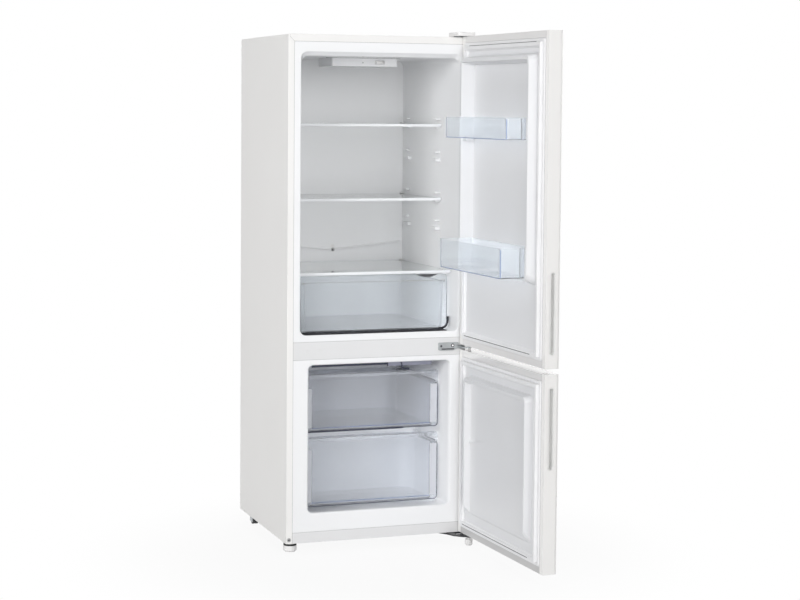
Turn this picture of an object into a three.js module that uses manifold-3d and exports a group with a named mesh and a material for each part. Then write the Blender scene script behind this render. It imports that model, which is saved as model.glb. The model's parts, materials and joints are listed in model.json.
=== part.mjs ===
// A bottom-freezer refrigerator of the 55 cm class, with its doors standing open.
// Millimetres, +Z up. The cabinet's front lies in the plane y = 0 and faces -Y, the floor is z = 0.
// The doors are modelled closed and then turned about their hinge pins.
import * as THREE from 'three';
import { mergeVertices } from 'three/addons/utils/BufferGeometryUtils.js';
import Module from 'manifold-3d';

// ---------------------------------------------------------------- driving sizes

const cabinetWidth = 550;
const cabinetDepth = 496;
const cabinetTop = 1450;
const cabinetBottom = 30;
const doorsMiddle = 567.75; // height of the gap between the doors
const doorsGap = 14.5;
const fit = 0.3; // clearance kept between neighbouring pieces
const sheet = 1.2; // painted steel sheet
const linerWall = 2; // thermoformed plastic
const sideReturn = 18; // front flange of the shell, beside the liners
const topReturn = 20;
const shellCorner = 5;

const fridgeSide = 38; // from the cabinet's side to the upper opening
const fridgeLid = 49; // from the cabinet's top to the upper opening
const fridgeBack = 454;
const freezerSide = 64; // from the cabinet's side to the lower opening
const freezerBack = 430;
const railAbove = 27.25; // middle rail, above and below the gap between the doors
const railBelow = 22.25;
const sillAbove = 19; // liner flange, between the rail and each opening
const sillBelow = 16.5;
const kickHeight = 30;
const sillHeight = 53; // from the kick strip to the lower opening
const lipDepth = 14; // the openings' edge, which the compartments widen behind
const lipDrop = 12;
const fridgeLipRound = 3;
const freezerLipRound = 6.5;
const wallDraft = 8; // how much narrower a compartment is at the back

const bayFront = 308; // machine bay behind the lower drawer
const bayTop = 262;
const stepBack = 268; // the lower compartment ends here below stepTop
const stepTop = 305;

const doorGap = 12; // from the cabinet's front to the door's inner plane
const doorThickness = 43;
const doorEdgeRadius = 10;
const doorOpenAngle = 92;
const doorRise = 1.5; // the upper door stands this much over the cabinet
const doorClear = 3.5; // and the lower door hangs this much over its bottom
const doorBand = 18; // flat band round a door's inner face, outside the seal
const capWall = 2.5;
const pinInset = 21.3; // hinge pins, in from the cabinet's right side
const pinForward = 26; // and in front of the cabinet
const pinRadius = 4;
const pinReach = 14;
const sealWidth = 24;
const bossRadius = 11;
const creaseHeight = 5; // low ridge across the lower door's panel
const creaseLevel = 306;
const creaseRise = 28;

const gripLength = 213;
const gripWidth = 13.5;
const gripDepth = 22;
const gripInset = 13; // from a door's inner plane to its grip
const gripFromGap = 37; // from a door's end at the middle gap to its grip
const gripWall = 1.5;

const shelfShares = [0.6783, 0.3314]; // heights of the shelves between the crisper's cover and the top
const spareShares = [0.523, 0.1997]; // levels where a shelf may also go
const shelfFront = 133;
const shelfBackGap = 8;
const glass = 4;
const coverRise = 168.5; // glass over the crisper, from the opening's lower edge
const coverFront = 52;
const trimHeight = 7.5;
const trimDepth = 12;
const sideGap = 2.5; // shelf to side wall
const lugReach = 9;
const lugHeight = 9;
const gutterRise = 44.5; // drain hole over the crisper's cover

const crisperFront = 60;
const crisperSide = 15;
const crisperPanelHeight = 156.5;
const crisperBodyHeight = 134.5;
const crisperBandDrop = 17; // line under the plain band along the panel's top
const drawerWall = 2.5;
const frontWall = 3;
const borderDepth = 2; // raised border of the drawers' fronts
const freezerDrawerFront = 76;
const freezerDrawerSide = 8;
const freezerBorderWidth = 25;
const freezerBorderHeight = 11;
const upperDrawerBottom = 328;
const upperDrawerGap = 35; // from the ceiling's edge to the upper drawer's front
const upperRimDrop = 39;
const lowerDrawerTop = 313;
const lowerRimDrop = 32;
const trayDraft = 6;
const trayBackDraft = 16;
const runnerReach = 7;
const runnerThickness = 8;
const rimHeight = 3;

const binWall = 2.5;
const binStep = 4; // the bins are wider in front of the door's ribs
const upperBinSize = { height: 57, reach: 84 };
const lowerBinSize = { height: 80, reach: 97.5 };
const binCorner = 8;

const controlHalfWidth = 100;
const controlFront = 155;
const controlDepth = 130;
const controlHeight = 24;
const knobRadius = 22;
const knobX = 45;

const rollerRadius = 14;
const rollerWidth = 16;
const rollerInset = 22;
const rollerY = 410;
const compressorX = 80;
const compressorY = 402;

// ---------------------------------------------------------------- sizes worked out from them

const halfWidth = cabinetWidth / 2;
const flangeX = halfWidth - sideReturn;
const insideX = halfWidth - sheet - fit;
const backPanelFront = cabinetDepth - 4;

const railBottom = doorsMiddle - railBelow;
const railTop = doorsMiddle + railAbove;
const kickTop = cabinetBottom + kickHeight;
const fridgeHalfWidth = halfWidth - fridgeSide;
const fridgeBottom = railTop + sillAbove;
const fridgeTop = cabinetTop - fridgeLid;
const ceiling = fridgeTop - 10;
const freezerHalfWidth = halfWidth - freezerSide;
const freezerBottom = kickTop + sillHeight;
const freezerTop = railBottom - sillBelow;
const freezerCeiling = freezerTop + 6;

const upperDoorBottom = doorsMiddle + doorsGap / 2;
const upperDoorTop = cabinetTop + doorRise;
const lowerDoorBottom = cabinetBottom + doorClear;
const lowerDoorTop = doorsMiddle - doorsGap / 2;
const pinX = halfWidth - pinInset;
const pinY = -pinForward;
const doorInner = -doorGap;
const doorOuter = -doorGap - doorThickness;
const capHeight = doorBand;
const dykeRoot = doorInner - 5;

// Raised ribs of the door liners: outline at the foot, width of the foot, lean of each flank, lean of the
// lower ends, height over the door's inner plane, and the level of the panel between the ribs.
const upperDyke = {
  halfX: fridgeHalfWidth - 8,
  z0: fridgeBottom + 172,
  z1: fridgeTop - 5,
  radius: 18,
  foot: 26,
  slope: 8,
  endLean: 17,
  height: 32,
  panel: -5,
};
const lowerDyke = {
  halfX: freezerHalfWidth - 4,
  z0: freezerBottom - 18,
  z1: freezerTop - 32,
  radius: 16,
  foot: 22,
  slope: 6,
  endLean: 32,
  height: 22,
  panel: 4,
};

const coverHeight = fridgeBottom + coverRise;
const levelAt = (share) => coverHeight + share * (fridgeTop - coverHeight);
const shelfHeights = shelfShares.map(levelAt);
const spareHeights = spareShares.map(levelAt);
const drainZ = coverHeight + gutterRise;
const crisperBottom = fridgeBottom + 1.5;
const crisperTop = crisperBottom + crisperPanelHeight;
const crisperRim = crisperBottom + crisperBodyHeight;
const crisperHalfWidth = fridgeHalfWidth - crisperSide;

const freezerWallBack = freezerHalfWidth - 3 - wallDraft / 2;
const runnerInner = freezerWallBack - runnerReach;
const runnerFront = freezerDrawerFront + 8;
const freezerDrawerHalfWidth = freezerHalfWidth - freezerDrawerSide;
const upperDrawerTop = freezerTop - upperDrawerGap;
const upperDrawerRim = upperDrawerTop - upperRimDrop;
const lowerDrawerBottom = freezerBottom + 1.5;
const lowerDrawerRim = lowerDrawerTop - lowerRimDrop;

const binHalfWidth = upperDyke.halfX - 33;
const upperBin = { ...upperBinSize, bottom: upperDyke.z1 - 228 };
const lowerBin = { ...lowerBinSize, bottom: upperDyke.z0 + 20 };

const rollerX = halfWidth - rollerInset;
const bayFloor = cabinetBottom + 1;

// ---------------------------------------------------------------- geometry helpers

const wasm = await Module();
wasm.setup();

// Closed three.js geometry to a manifold solid, faces turned outwards.
function solid(geometry) {
  const bare = geometry.clone();
  bare.deleteAttribute('normal');
  bare.deleteAttribute('uv');
  const merged = mergeVertices(bare, 1e-4);
  const triVerts = Uint32Array.from(merged.index.array);
  const vertProperties = Float32Array.from(merged.attributes.position.array);
  return new wasm.Manifold(new wasm.Mesh({ numProp: 3, vertProperties, triVerts }));
}

function join(...pieces) {
  return pieces.reduce((whole, piece) => whole.add(piece));
}

function cut(piece, ...tools) {
  return tools.reduce((left, tool) => left.subtract(tool), piece);
}

function box(x0, x1, y0, y1, z0, z1) {
  const geometry = new THREE.BoxGeometry(x1 - x0, y1 - y0, z1 - z0);
  return solid(geometry.translate((x0 + x1) / 2, (y0 + y1) / 2, (z0 + z1) / 2));
}

// The same box on the left and on the right of the middle plane.
function boxPair(x0, x1, y0, y1, z0, z1) {
  return join(box(x0, x1, y0, y1, z0, z1), box(-x1, -x0, y0, y1, z0, z1));
}

// Turns a form drawn in x, y and raised along z so that it is raised along the named axis:
// along 'y' the drawing lies in x, z, and along 'x' it lies in y, z.
function turned(geometry, axis) {
  if (axis === 'y') geometry.rotateX(Math.PI / 2).scale(1, -1, 1);
  if (axis === 'x') geometry.rotateX(Math.PI / 2).rotateZ(Math.PI / 2);
  if (axis === 'y') flipFaces(geometry);
  return geometry;
}

function flipFaces(geometry) {
  if (!geometry.index) geometry.setIndex([...Array(geometry.attributes.position.count).keys()]);
  const order = geometry.index.array;
  for (let i = 0; i < order.length; i += 3) [order[i], order[i + 1]] = [order[i + 1], order[i]];
}

// Raises a drawn shape from one level to another along an axis, with its edges rounded by `bevel`.
function prism(shape, axis, from, to, { bevel = 0, curveSegments = 4 } = {}) {
  const geometry = new THREE.ExtrudeGeometry(shape, {
    depth: to - from - 2 * bevel,
    bevelEnabled: bevel > 0,
    bevelThickness: bevel,
    bevelSize: bevel,
    bevelOffset: -bevel,
    bevelSegments: 2,
    curveSegments,
  });
  turned(geometry.translate(0, 0, from + bevel), axis);
  return solid(geometry);
}

function rod(radius, axis, from, to, across, up, sides = 16) {
  const geometry = new THREE.CylinderGeometry(radius, radius, to - from, sides);
  geometry.rotateX(Math.PI / 2).translate(0, 0, (from + to) / 2);
  turned(geometry, axis);
  if (axis === 'z') geometry.translate(across, up, 0);
  if (axis === 'y') geometry.translate(across, 0, up);
  if (axis === 'x') geometry.translate(0, across, up);
  return solid(geometry);
}

function revolve(profile, x, y, segments = 20) {
  const points = profile.map(([radius, z]) => new THREE.Vector2(radius, z));
  return solid(new THREE.LatheGeometry(points, segments).rotateX(Math.PI / 2).translate(x, y, 0));
}

function polygon(points) {
  return new THREE.Shape(points.map(([u, v]) => new THREE.Vector2(u, v)));
}

function roundedRectangle(u0, u1, v0, v1, radius) {
  const shape = new THREE.Shape();
  shape.moveTo(u0 + radius, v0);
  shape.lineTo(u1 - radius, v0);
  shape.absarc(u1 - radius, v0 + radius, radius, -Math.PI / 2, 0);
  shape.lineTo(u1, v1 - radius);
  shape.absarc(u1 - radius, v1 - radius, radius, 0, Math.PI / 2);
  shape.lineTo(u0 + radius, v1);
  shape.absarc(u0 + radius, v1 - radius, radius, Math.PI / 2, Math.PI);
  shape.lineTo(u0, v0 + radius);
  shape.absarc(u0 + radius, v0 + radius, radius, Math.PI, Math.PI * 1.5);
  return shape;
}

function frame(outer, inner) {
  const shape = roundedRectangle(...outer);
  shape.holes.push(roundedRectangle(...inner));
  return shape;
}

// Skin through a row of rings with the same number of points, closed at both ends.
function loft(rings) {
  const count = rings[0].length;
  const last = (rings.length - 1) * count;
  const index = [];
  for (let k = 0; k < rings.length - 1; k += 1) {
    for (let i = 0; i < count; i += 1) {
      const a = k * count + i;
      const b = k * count + ((i + 1) % count);
      index.push(a, b, a + count, b, b + count, a + count);
    }
  }
  for (let i = 1; i < count - 1; i += 1) index.push(0, i + 1, i, last, last + i, last + i + 1);
  const geometry = new THREE.BufferGeometry().setFromPoints(rings.flat());
  geometry.setIndex(index);
  if (signedVolume(rings.flat(), index) < 0) flipFaces(geometry);
  return solid(geometry);
}

function signedVolume(points, index) {
  let sum = 0;
  for (let i = 0; i < index.length; i += 3) {
    const [a, b, c] = [points[index[i]], points[index[i + 1]], points[index[i + 2]]];
    sum += a.dot(new THREE.Vector3().crossVectors(b, c));
  }
  return sum / 6;
}

// Upright ring of a compartment: a rounded rectangle in x, z at depth y.
function wallRing({ halfX, z0, z1, radius, y }) {
  const corners = roundedRectangle(-halfX, halfX, z0, z1, radius).getPoints(3);
  return corners.slice(0, -1).map((p) => new THREE.Vector3(p.x, y, p.y));
}

// Round tube through points, each corner bent with `bend` radius.
function pipe(points, radius, bend, sides = 8) {
  const path = bentPath(points.map((p) => new THREE.Vector3(...p)), bend);
  const rings = [];
  let side = new THREE.Vector3(0.3, 0.5, 0.8);
  path.forEach((point, k) => {
    const before = path[Math.max(k - 1, 0)];
    const after = path[Math.min(k + 1, path.length - 1)];
    const along = after.clone().sub(before).normalize();
    side = side.clone().addScaledVector(along, -side.dot(along)).normalize();
    const up = new THREE.Vector3().crossVectors(along, side);
    rings.push(Array.from({ length: sides }, (_, i) => {
      const turn = (i / sides) * 2 * Math.PI;
      const edge = point.clone().addScaledVector(side, radius * Math.cos(turn));
      return edge.addScaledVector(up, radius * Math.sin(turn));
    }));
  });
  return loft(rings);
}

function bentPath(points, bend) {
  const path = [points[0]];
  for (let k = 1; k < points.length - 1; k += 1) {
    const from = points[k].clone().add(points[k - 1].clone().sub(points[k]).setLength(bend));
    const to = points[k].clone().add(points[k + 1].clone().sub(points[k]).setLength(bend));
    path.push(...new THREE.QuadraticBezierCurve3(from, points[k], to).getPoints(4));
  }
  path.push(points.at(-1));
  return path;
}

// ---------------------------------------------------------------- materials and nodes

function material(color, roughness, metalness = 0, opacity = 1) {
  const look = { color, roughness, metalness, opacity, transparent: opacity < 1 };
  return new THREE.MeshStandardMaterial({ ...look, flatShading: true });
}

const white = material(0xe4e3e1, 0.35);
const linerWhite = material(0xd6d8da, 0.4);
const rail = material(0xd0d0d0, 0.4);
const clearTray = material(0x9fb0c4, 0.15, 0, 0.6);
const clearDrawer = material(0x8494aa, 0.2, 0, 0.7);
const glassLook = material(0xcfdedd, 0.05, 0, 0.35);
const trimLook = material(0xe2e5ea, 0.3);
const rubber = material(0xbfc2c6, 0.8);
const blackRubber = material(0x1d1d1f, 0.8);
const steel = material(0x8f9499, 0.35, 1);
const zinc = material(0xa9adb0, 0.45, 1);
const blackSteel = material(0x26272a, 0.5, 0.4);
const copper = material(0xb46a43, 0.35, 1);
const aluminium = material(0xc9ccd0, 0.4, 1);
const foamLook = material(0xe8dfb8, 0.9);
const blackPlastic = material(0x202124, 0.5);
const greyPlastic = material(0xb9bbbe, 0.5);
const lensLook = material(0xf4f4ee, 0.3, 0, 0.8);

const fridge = new THREE.Group();

function addTo(parent, name, body, look) {
  const { vertProperties, triVerts } = body.getMesh();
  const geometry = new THREE.BufferGeometry();
  geometry.setAttribute('position', new THREE.BufferAttribute(vertProperties, 3));
  geometry.setIndex(new THREE.BufferAttribute(triVerts, 1));
  const mesh = new THREE.Mesh(geometry, look);
  mesh.name = name;
  parent.add(mesh);
}

const add = (name, body, look) => addTo(fridge, name, body, look);

// ---------------------------------------------------------------- compartments

// Rings of an opening's rounded edge, from in front of it to the narrowest place behind it.
function lipRings(opening, round, front) {
  const wider = (by, y) => wallRing({
    halfX: opening.halfX + by, z0: opening.z0 - by, z1: opening.z1 + by, radius: opening.radius + by, y,
  });
  const start = front < 0 ? [wider(round, front)] : [];
  return [...start, wider(round, 0), wider(round * 0.3, round * 0.3), wider(0, round)];
}

// Space of the upper compartment, grown by `o` on every side.
function fridgeSpace(o, front = 0) {
  const halfX = fridgeHalfWidth + o;
  const opening = { halfX, z0: fridgeBottom - o, z1: fridgeTop + o, radius: 18 + o };
  const behind = { halfX: halfX - 3, z0: fridgeBottom - lipDrop - o, z1: ceiling + o, radius: 20 + o };
  return loft([
    ...lipRings(opening, fridgeLipRound, front),
    wallRing({ ...behind, y: lipDepth }),
    wallRing({ ...behind, halfX: behind.halfX - wallDraft, y: fridgeBack + o }),
  ]);
}

// Space of the lower compartment, with the step over the machine bay.
function freezerSpace(o, front = 0) {
  const halfX = freezerHalfWidth + o;
  const opening = { halfX, z0: freezerBottom - o, z1: freezerTop + o, radius: 14 + o };
  const z0 = freezerBottom - lipDrop - o;
  const behind = { halfX: halfX - 3, z0, z1: freezerCeiling + o, radius: 16 + o };
  const tub = loft([
    ...lipRings(opening, freezerLipRound, front),
    wallRing({ ...behind, y: lipDepth }),
    wallRing({ ...behind, halfX: behind.halfX - wallDraft / 2, y: freezerBack + o }),
  ]);
  return cut(tub, box(-halfWidth, halfWidth, stepBack + o, cabinetDepth, 0, stepTop - o));
}

// Half width of the upper compartment at depth y.
function fridgeWallX(y) {
  return fridgeHalfWidth - 3 - (wallDraft * (y - lipDepth)) / (fridgeBack - lipDepth);
}

function fridgeLug(y0, y1, z0, z1) {
  return wallStrip(fridgeWallX(fridgeBack) - lugReach, fridgeWallX, y0, y1, z0, z1);
}

// Two pairs of lugs that carry a shelf, and two small ones above it that keep it from tipping.
function shelfLugs(top) {
  const under = top - glass - fit;
  const over = top + 12;
  const rear = fridgeBack - 72;
  const start = shelfFront + trimDepth + 3;
  return [
    fridgeLug(start, start + 40, under - lugHeight, under),
    fridgeLug(rear, rear + 42, under - lugHeight, under),
    fridgeLug(start + 2, start + 24, over, over + 5),
    fridgeLug(rear + 14, rear + 36, over, over + 5),
  ];
}

function fridgeLiner() {
  const flange = prism(
    roundedRectangle(-flangeX + fit, flangeX - fit, railTop + fit, cabinetTop - topReturn - fit, 2),
    'y', 0, linerWall);
  const under = coverHeight - glass - fit;
  const gutterX = fridgeHalfWidth - 23;
  const gutter = prism(polygon([
    [-gutterX, drainZ + 15], [0, drainZ - 7], [gutterX, drainZ + 15],
    [gutterX, drainZ + 10], [0, drainZ - 12], [-gutterX, drainZ + 10],
  ]), 'y', fridgeBack - 8, fridgeBack + 1);
  const ribX = crisperHalfWidth - 52;
  return cut(
    join(
      cut(join(flange, fridgeSpace(linerWall)), fridgeSpace(0, -1)),
      ...[...shelfHeights, ...spareHeights].flatMap(shelfLugs),
      fridgeLug(80, fridgeBack - 16, under - lugHeight - 1, under),
      boxPair(ribX, ribX + 10, 22, fridgeBack - 24, fridgeBottom - lipDrop - 1, crisperBottom - fit),
      gutter,
    ),
    rod(6, 'y', fridgeBack - 2, fridgeBack + linerWall + 1, 0, drainZ, 12),
  );
}

// Half width of the lower compartment at depth y.
function freezerWallX(y) {
  return freezerHalfWidth - 3 - (wallDraft / 2) * ((y - lipDepth) / (freezerBack - lipDepth));
}

// Strip along both side walls, from a flat inner face at `reach` to inside the drafted wall.
function wallStrip(reach, wallX, y0, y1, z0, z1) {
  const plan = (side) => {
    const edge = (x, y) => [side * x, y];
    return polygon([edge(reach, y0), edge(wallX(y0) + 1, y0), edge(wallX(y1) + 1, y1), edge(reach, y1)]);
  };
  return join(prism(plan(1), 'z', z0, z1), prism(plan(-1), 'z', z0, z1));
}

// Ledge and upper guide for a drawer's rim, on both side walls.
function runner(rimTop, back) {
  const ledge = rimTop - rimHeight - fit;
  const guide = rimTop + 4;
  return [
    wallStrip(runnerInner, freezerWallX, runnerFront, back, ledge - runnerThickness, ledge),
    wallStrip(runnerInner, freezerWallX, runnerFront, back, guide, guide + runnerThickness / 2),
  ];
}

function freezerLiner() {
  const flange = prism(
    roundedRectangle(-flangeX + fit, flangeX - fit, kickTop + fit, railBottom - fit, 2), 'y', 0, linerWall);
  const tub = cut(join(flange, freezerSpace(linerWall)), freezerSpace(0, -1));
  const runners = [...runner(upperDrawerRim, freezerBack - 14), ...runner(lowerDrawerRim, stepBack - 4)];
  return join(tub, ...runners);
}

// ---------------------------------------------------------------- cabinet

// Cross-section of the cabinet with rounded top corners, pulled in by `inset`, from z0 upwards.
function cabinetSection(y0, y1, z0, inset = 0, topInset = inset) {
  const x = halfWidth - inset;
  const z = cabinetTop - topInset;
  const radius = Math.max(shellCorner - inset, 1);
  const shape = new THREE.Shape();
  shape.moveTo(-x, z0);
  shape.lineTo(x, z0);
  shape.lineTo(x, z - radius);
  shape.absarc(x - radius, z - radius, radius, 0, Math.PI / 2);
  shape.lineTo(-x + radius, z);
  shape.absarc(-x + radius, z - radius, radius, Math.PI / 2, Math.PI);
  return prism(shape, 'y', y0, y1, { curveSegments: 3 });
}

// Sheet over both sides and the top, with its front edge turned in, before it is parted.
function shellSheet() {
  return cut(
    cabinetSection(0, cabinetDepth, cabinetBottom),
    cabinetSection(sheet, cabinetDepth + 1, cabinetBottom - 1, sheet),
    cabinetSection(-1, sheet + 1, cabinetBottom - 1, sideReturn, topReturn),
  );
}

// Region of the top panel: the sheet between the two mitred corners, narrowed by `gap`.
function topRegion(gap) {
  const x = halfWidth - shellCorner - gap;
  const low = flangeX - gap;
  const z = cabinetTop - topReturn;
  return prism(polygon([
    [-low, z - 1], [low, z - 1], [low, z], [x, z + x - low], [x, cabinetTop + 1], [-x, cabinetTop + 1],
    [-x, z + x - low], [-low, z],
  ]), 'y', -1, cabinetDepth + 1);
}

function sidePanel(side) {
  const edges = [0, side * halfWidth].sort((a, b) => a - b);
  const half = box(...edges, -1, cabinetDepth + 1, cabinetBottom - 1, cabinetTop + 1);
  const toolHole = rod(2.5, 'y', -1, sheet + 1, side * (halfWidth - 7), cabinetBottom + 10.5, 10);
  return cut(shellSheet().intersect(half), topRegion(0), toolHole);
}

function topPanel() {
  return shellSheet().intersect(topRegion(fit));
}

// Folded sheet under the insulation: floor, rise in front of the machine bay, and the bay's roof.
function basePan(footHole, coilSlot, pipeHoles) {
  const y1 = backPanelFront - fit;
  const y0 = linerWall + fit;
  const profile = polygon([
    [y0, cabinetBottom], [bayFront + sheet, cabinetBottom], [bayFront + sheet, bayTop],
    [y1, bayTop], [y1, bayTop + sheet], [bayFront, bayTop + sheet],
    [bayFront, cabinetBottom + sheet], [y0, cabinetBottom + sheet],
  ]);
  return cut(prism(profile, 'x', -insideX, insideX), footHole, coilSlot, ...pipeHoles);
}

const leftFoot = { x: 24 - halfWidth, y: 43, radius: 19, top: 17.5 };
const rightFoot = { x: halfWidth - 18.5, y: -45, radius: 11, top: 18 };
const drainTubeRadius = 6;
const drainBottom = 238;
const drainY = backPanelFront - 18;
const coilX = 5 - halfWidth;
const coilTubeRadius = 2.5;
const coilPasses = 5;
const coilPitch = 82;
const coilFirstY = 90;
const coilLow = 330;
const coilHigh = cabinetTop - 110;
const coilReturnDrop = 22;
const coilInY = 476;
const coilOutY = 456;
const drierX = 23 - halfWidth;
const drierTop = 205;
const suctionX = 190;
const suctionY = 440;
const evaporatorHalfWidth = 150;
const evaporatorThickness = 1.6;
const evaporatorBottom = drainZ + 73;
const evaporatorTop = fridgeTop - 101;

const footHole = rod(pinRadius + fit, 'z', cabinetBottom - 1, cabinetBottom + 17, leftFoot.x, leftFoot.y, 20);
const coilSlot = box(-insideX - 1, coilX + 5, 444, 482, bayTop - 4, coilLow);
const drainPath = [[0, fridgeBack + linerWall + fit, drainZ], [0, drainY, drainZ], [0, drainY, drainBottom]];
const drainBore = pipe(drainPath, drainTubeRadius + 1.5, 12, 12);
const suctionBore = rod(5, 'z', bayTop - 2, bayTop + 26, suctionX, suctionY, 12);

function insulation() {
  const block = cabinetSection(
    linerWall + fit, backPanelFront - fit, cabinetBottom + sheet + fit, sheet + fit);
  const o = linerWall + fit;
  const bay = box(-halfWidth, halfWidth, bayFront - fit, cabinetDepth, 0, bayTop + sheet + fit);
  const coilPocket = box(-insideX - 1, coilX + 5, coilFirstY - 20, 482, coilLow - 40, coilHigh + 20);
  const plateX = evaporatorHalfWidth + 2;
  const plateBack = fridgeBack + o + evaporatorThickness + 0.8;
  const platePocket = box(-plateX, plateX, fridgeBack, plateBack, evaporatorBottom - 2, evaporatorTop + 2);
  return cut(block, fridgeSpace(o), freezerSpace(o), bay, coilPocket, coilSlot, footHole,
    drainBore, suctionBore, platePocket);
}

function backPanel() {
  return cabinetSection(backPanelFront, backPanelFront + 1, bayTop + 2, sheet + fit);
}

function rollerFork(side) {
  const x = side * rollerX;
  const cheek = rollerWidth / 2 + 1;
  const plate = (from) => box(from, from + 2, rollerY - 12, rollerY + 12, rollerRadius - 6, bayFloor + 1);
  const axle = rod(2.5, 'x', x - cheek - 1, x + cheek + 1, rollerY, rollerRadius, 12);
  return join(plate(x - cheek - 2), plate(x + cheek), axle);
}

function machineTray() {
  const y0 = bayFront + sheet + fit;
  const plate = box(-insideX, insideX, y0, cabinetDepth - 6, bayFloor, bayFloor + 2);
  const lip = box(-insideX, insideX, cabinetDepth - 8, cabinetDepth - 6, bayFloor, bayFloor + 16);
  return join(plate, lip, rollerFork(-1), rollerFork(1));
}

function cabinet() {
  add('left_side_panel', sidePanel(-1), white);
  add('right_side_panel', sidePanel(1), white);
  add('top_panel', topPanel(), white);
  add('fridge_liner', fridgeLiner(), linerWhite);
  add('freezer_liner', freezerLiner(), linerWhite);
  add('insulation_foam', insulation(), foamLook);
  add('back_panel', backPanel(), zinc);
  const railX = flangeX - fit;
  add('middle_rail', box(-railX, railX, 0, linerWall, railBottom, railTop), rail);
  add('kick_strip', box(-railX, railX, 0, linerWall, cabinetBottom, kickTop), rail);
  add('base_pan', basePan(footHole, coilSlot, [drainBore, suctionBore]), zinc);
  add('machine_tray', machineTray(), zinc);
}

// ---------------------------------------------------------------- feet and rollers

// Levelling foot: a cup with bevelled edges on its stud.
function foot({ x, y, radius, top }, collarRadius, collarTop, studTop) {
  return revolve([
    [0, 0], [radius - 4, 0], [radius, 4], [radius, top - 1], [radius - 1, top], [collarRadius, top],
    [collarRadius, collarTop], [pinRadius, collarTop], [pinRadius, studTop], [0, studTop],
  ], x, y, 20);
}

function feet() {
  add('left_foot', foot(leftFoot, 15, cabinetBottom - 3, cabinetBottom + 15), greyPlastic);
  add('right_foot', foot(rightFoot, 7, 21, cabinetBottom - 1.5), greyPlastic);
  for (const [side, name] of [[-1, 'left_rear_roller'], [1, 'right_rear_roller']]) {
    const x = side * rollerX;
    const half = rollerWidth / 2;
    const wheel = rod(rollerRadius, 'x', x - half, x + half, rollerY, rollerRadius, 24);
    const groove = cut(
      rod(rollerRadius + 1, 'x', x - 1.5, x + 1.5, rollerY, rollerRadius, 24),
      rod(rollerRadius - 1.5, 'x', x - 2, x + 2, rollerY, rollerRadius, 24));
    const bore = rod(2.5 + fit, 'x', x - half - 1, x + half + 1, rollerY, rollerRadius, 12);
    add(name, cut(wheel, groove, bore), blackPlastic);
  }
}

// ---------------------------------------------------------------- machine bay and cooling circuit

const trayTop = bayFloor + 2;
const mountHeight = 14;
const plateUnder = trayTop + mountHeight + 2 * fit;
const potBottom = plateUnder;
const potTop = potBottom + 146;
const potRadius = 66;
const mountSpots = [[-68, -48], [68, -48], [-68, 48], [68, 48]];
const portHeight = potBottom + 90;
const terminal = { depth: 34, halfWidth: 32, bottom: 24, height: 68 };
const panFront = 346;
const panDepth = 140;
const panHalfWidth = 97;
const panHeight = 30;
const panWall = 2;
const plateInset = 16; // freezer evaporator, in from the compartment's sides
const plateFront = 70;
const plateDrop = 8;
const plateThickness = 2;

function compressor() {
  const pot = revolve([
    [0, potBottom], [44, potBottom], [60, potBottom + 12], [potRadius, potBottom + 30],
    [potRadius, potBottom + 68], [70, potBottom + 70], [70, potBottom + 76], [potRadius, potBottom + 78],
    [potRadius, potTop - 30], [58, potTop - 12], [38, potTop - 3], [0, potTop],
  ], compressorX, compressorY);
  const base = box(compressorX - 82, compressorX + 82, compressorY - 60, compressorY + 60,
    plateUnder, plateUnder + 2.5);
  const ports = [
    rod(4, 'x', compressorX + potRadius - 6, compressorX + potRadius + 10, compressorY + 8, portHeight, 10),
    rod(4, 'y', compressorY + potRadius - 6, compressorY + potRadius + 8, compressorX - 20, portHeight, 10),
  ];
  return join(pot, base, ...ports);
}

function evaporationPan() {
  const z0 = potTop + fit;
  const middle = compressorX - 7;
  const plan = (o) => roundedRectangle(
    middle - panHalfWidth + o, middle + panHalfWidth - o, panFront + o, panFront + panDepth - o, 10 - o);
  const outer = prism(plan(0), 'z', z0, z0 + panHeight, { curveSegments: 3 });
  return cut(outer, prism(plan(panWall), 'z', z0 + panWall, z0 + panHeight + 1, { curveSegments: 3 }));
}

// Tube that winds up and down behind the left side, then runs back to the filter drier.
function condenserCoil() {
  const points = [[coilX, coilInY, bayTop - 70], [coilX, coilInY, coilHigh]];
  for (let pass = coilPasses - 1; pass >= 0; pass -= 1) {
    const y = coilFirstY + pass * coilPitch;
    const down = pass % 2 === 0;
    const last = pass === 0;
    points.push([coilX, y, down ? coilHigh : coilLow]);
    points.push([coilX, y, down ? coilLow - (last ? coilReturnDrop : 0) : coilHigh]);
  }
  const returnZ = coilLow - coilReturnDrop;
  points.push([coilX, coilOutY, returnZ], [coilX, coilOutY, drierTop + 40]);
  points.push([drierX, coilOutY, drierTop + 20], [drierX, coilOutY, drierTop - 8]);
  const tube = pipe(points, coilTubeRadius, 10, 6);
  const drier = revolve([
    [0, drierTop - 116], [2, drierTop - 116], [2, drierTop - 100], [9, drierTop - 90],
    [9, drierTop - 16], [3.5, drierTop - 6], [3.5, drierTop], [0, drierTop],
  ], drierX, coilOutY, 14);
  return join(tube, drier);
}

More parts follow.
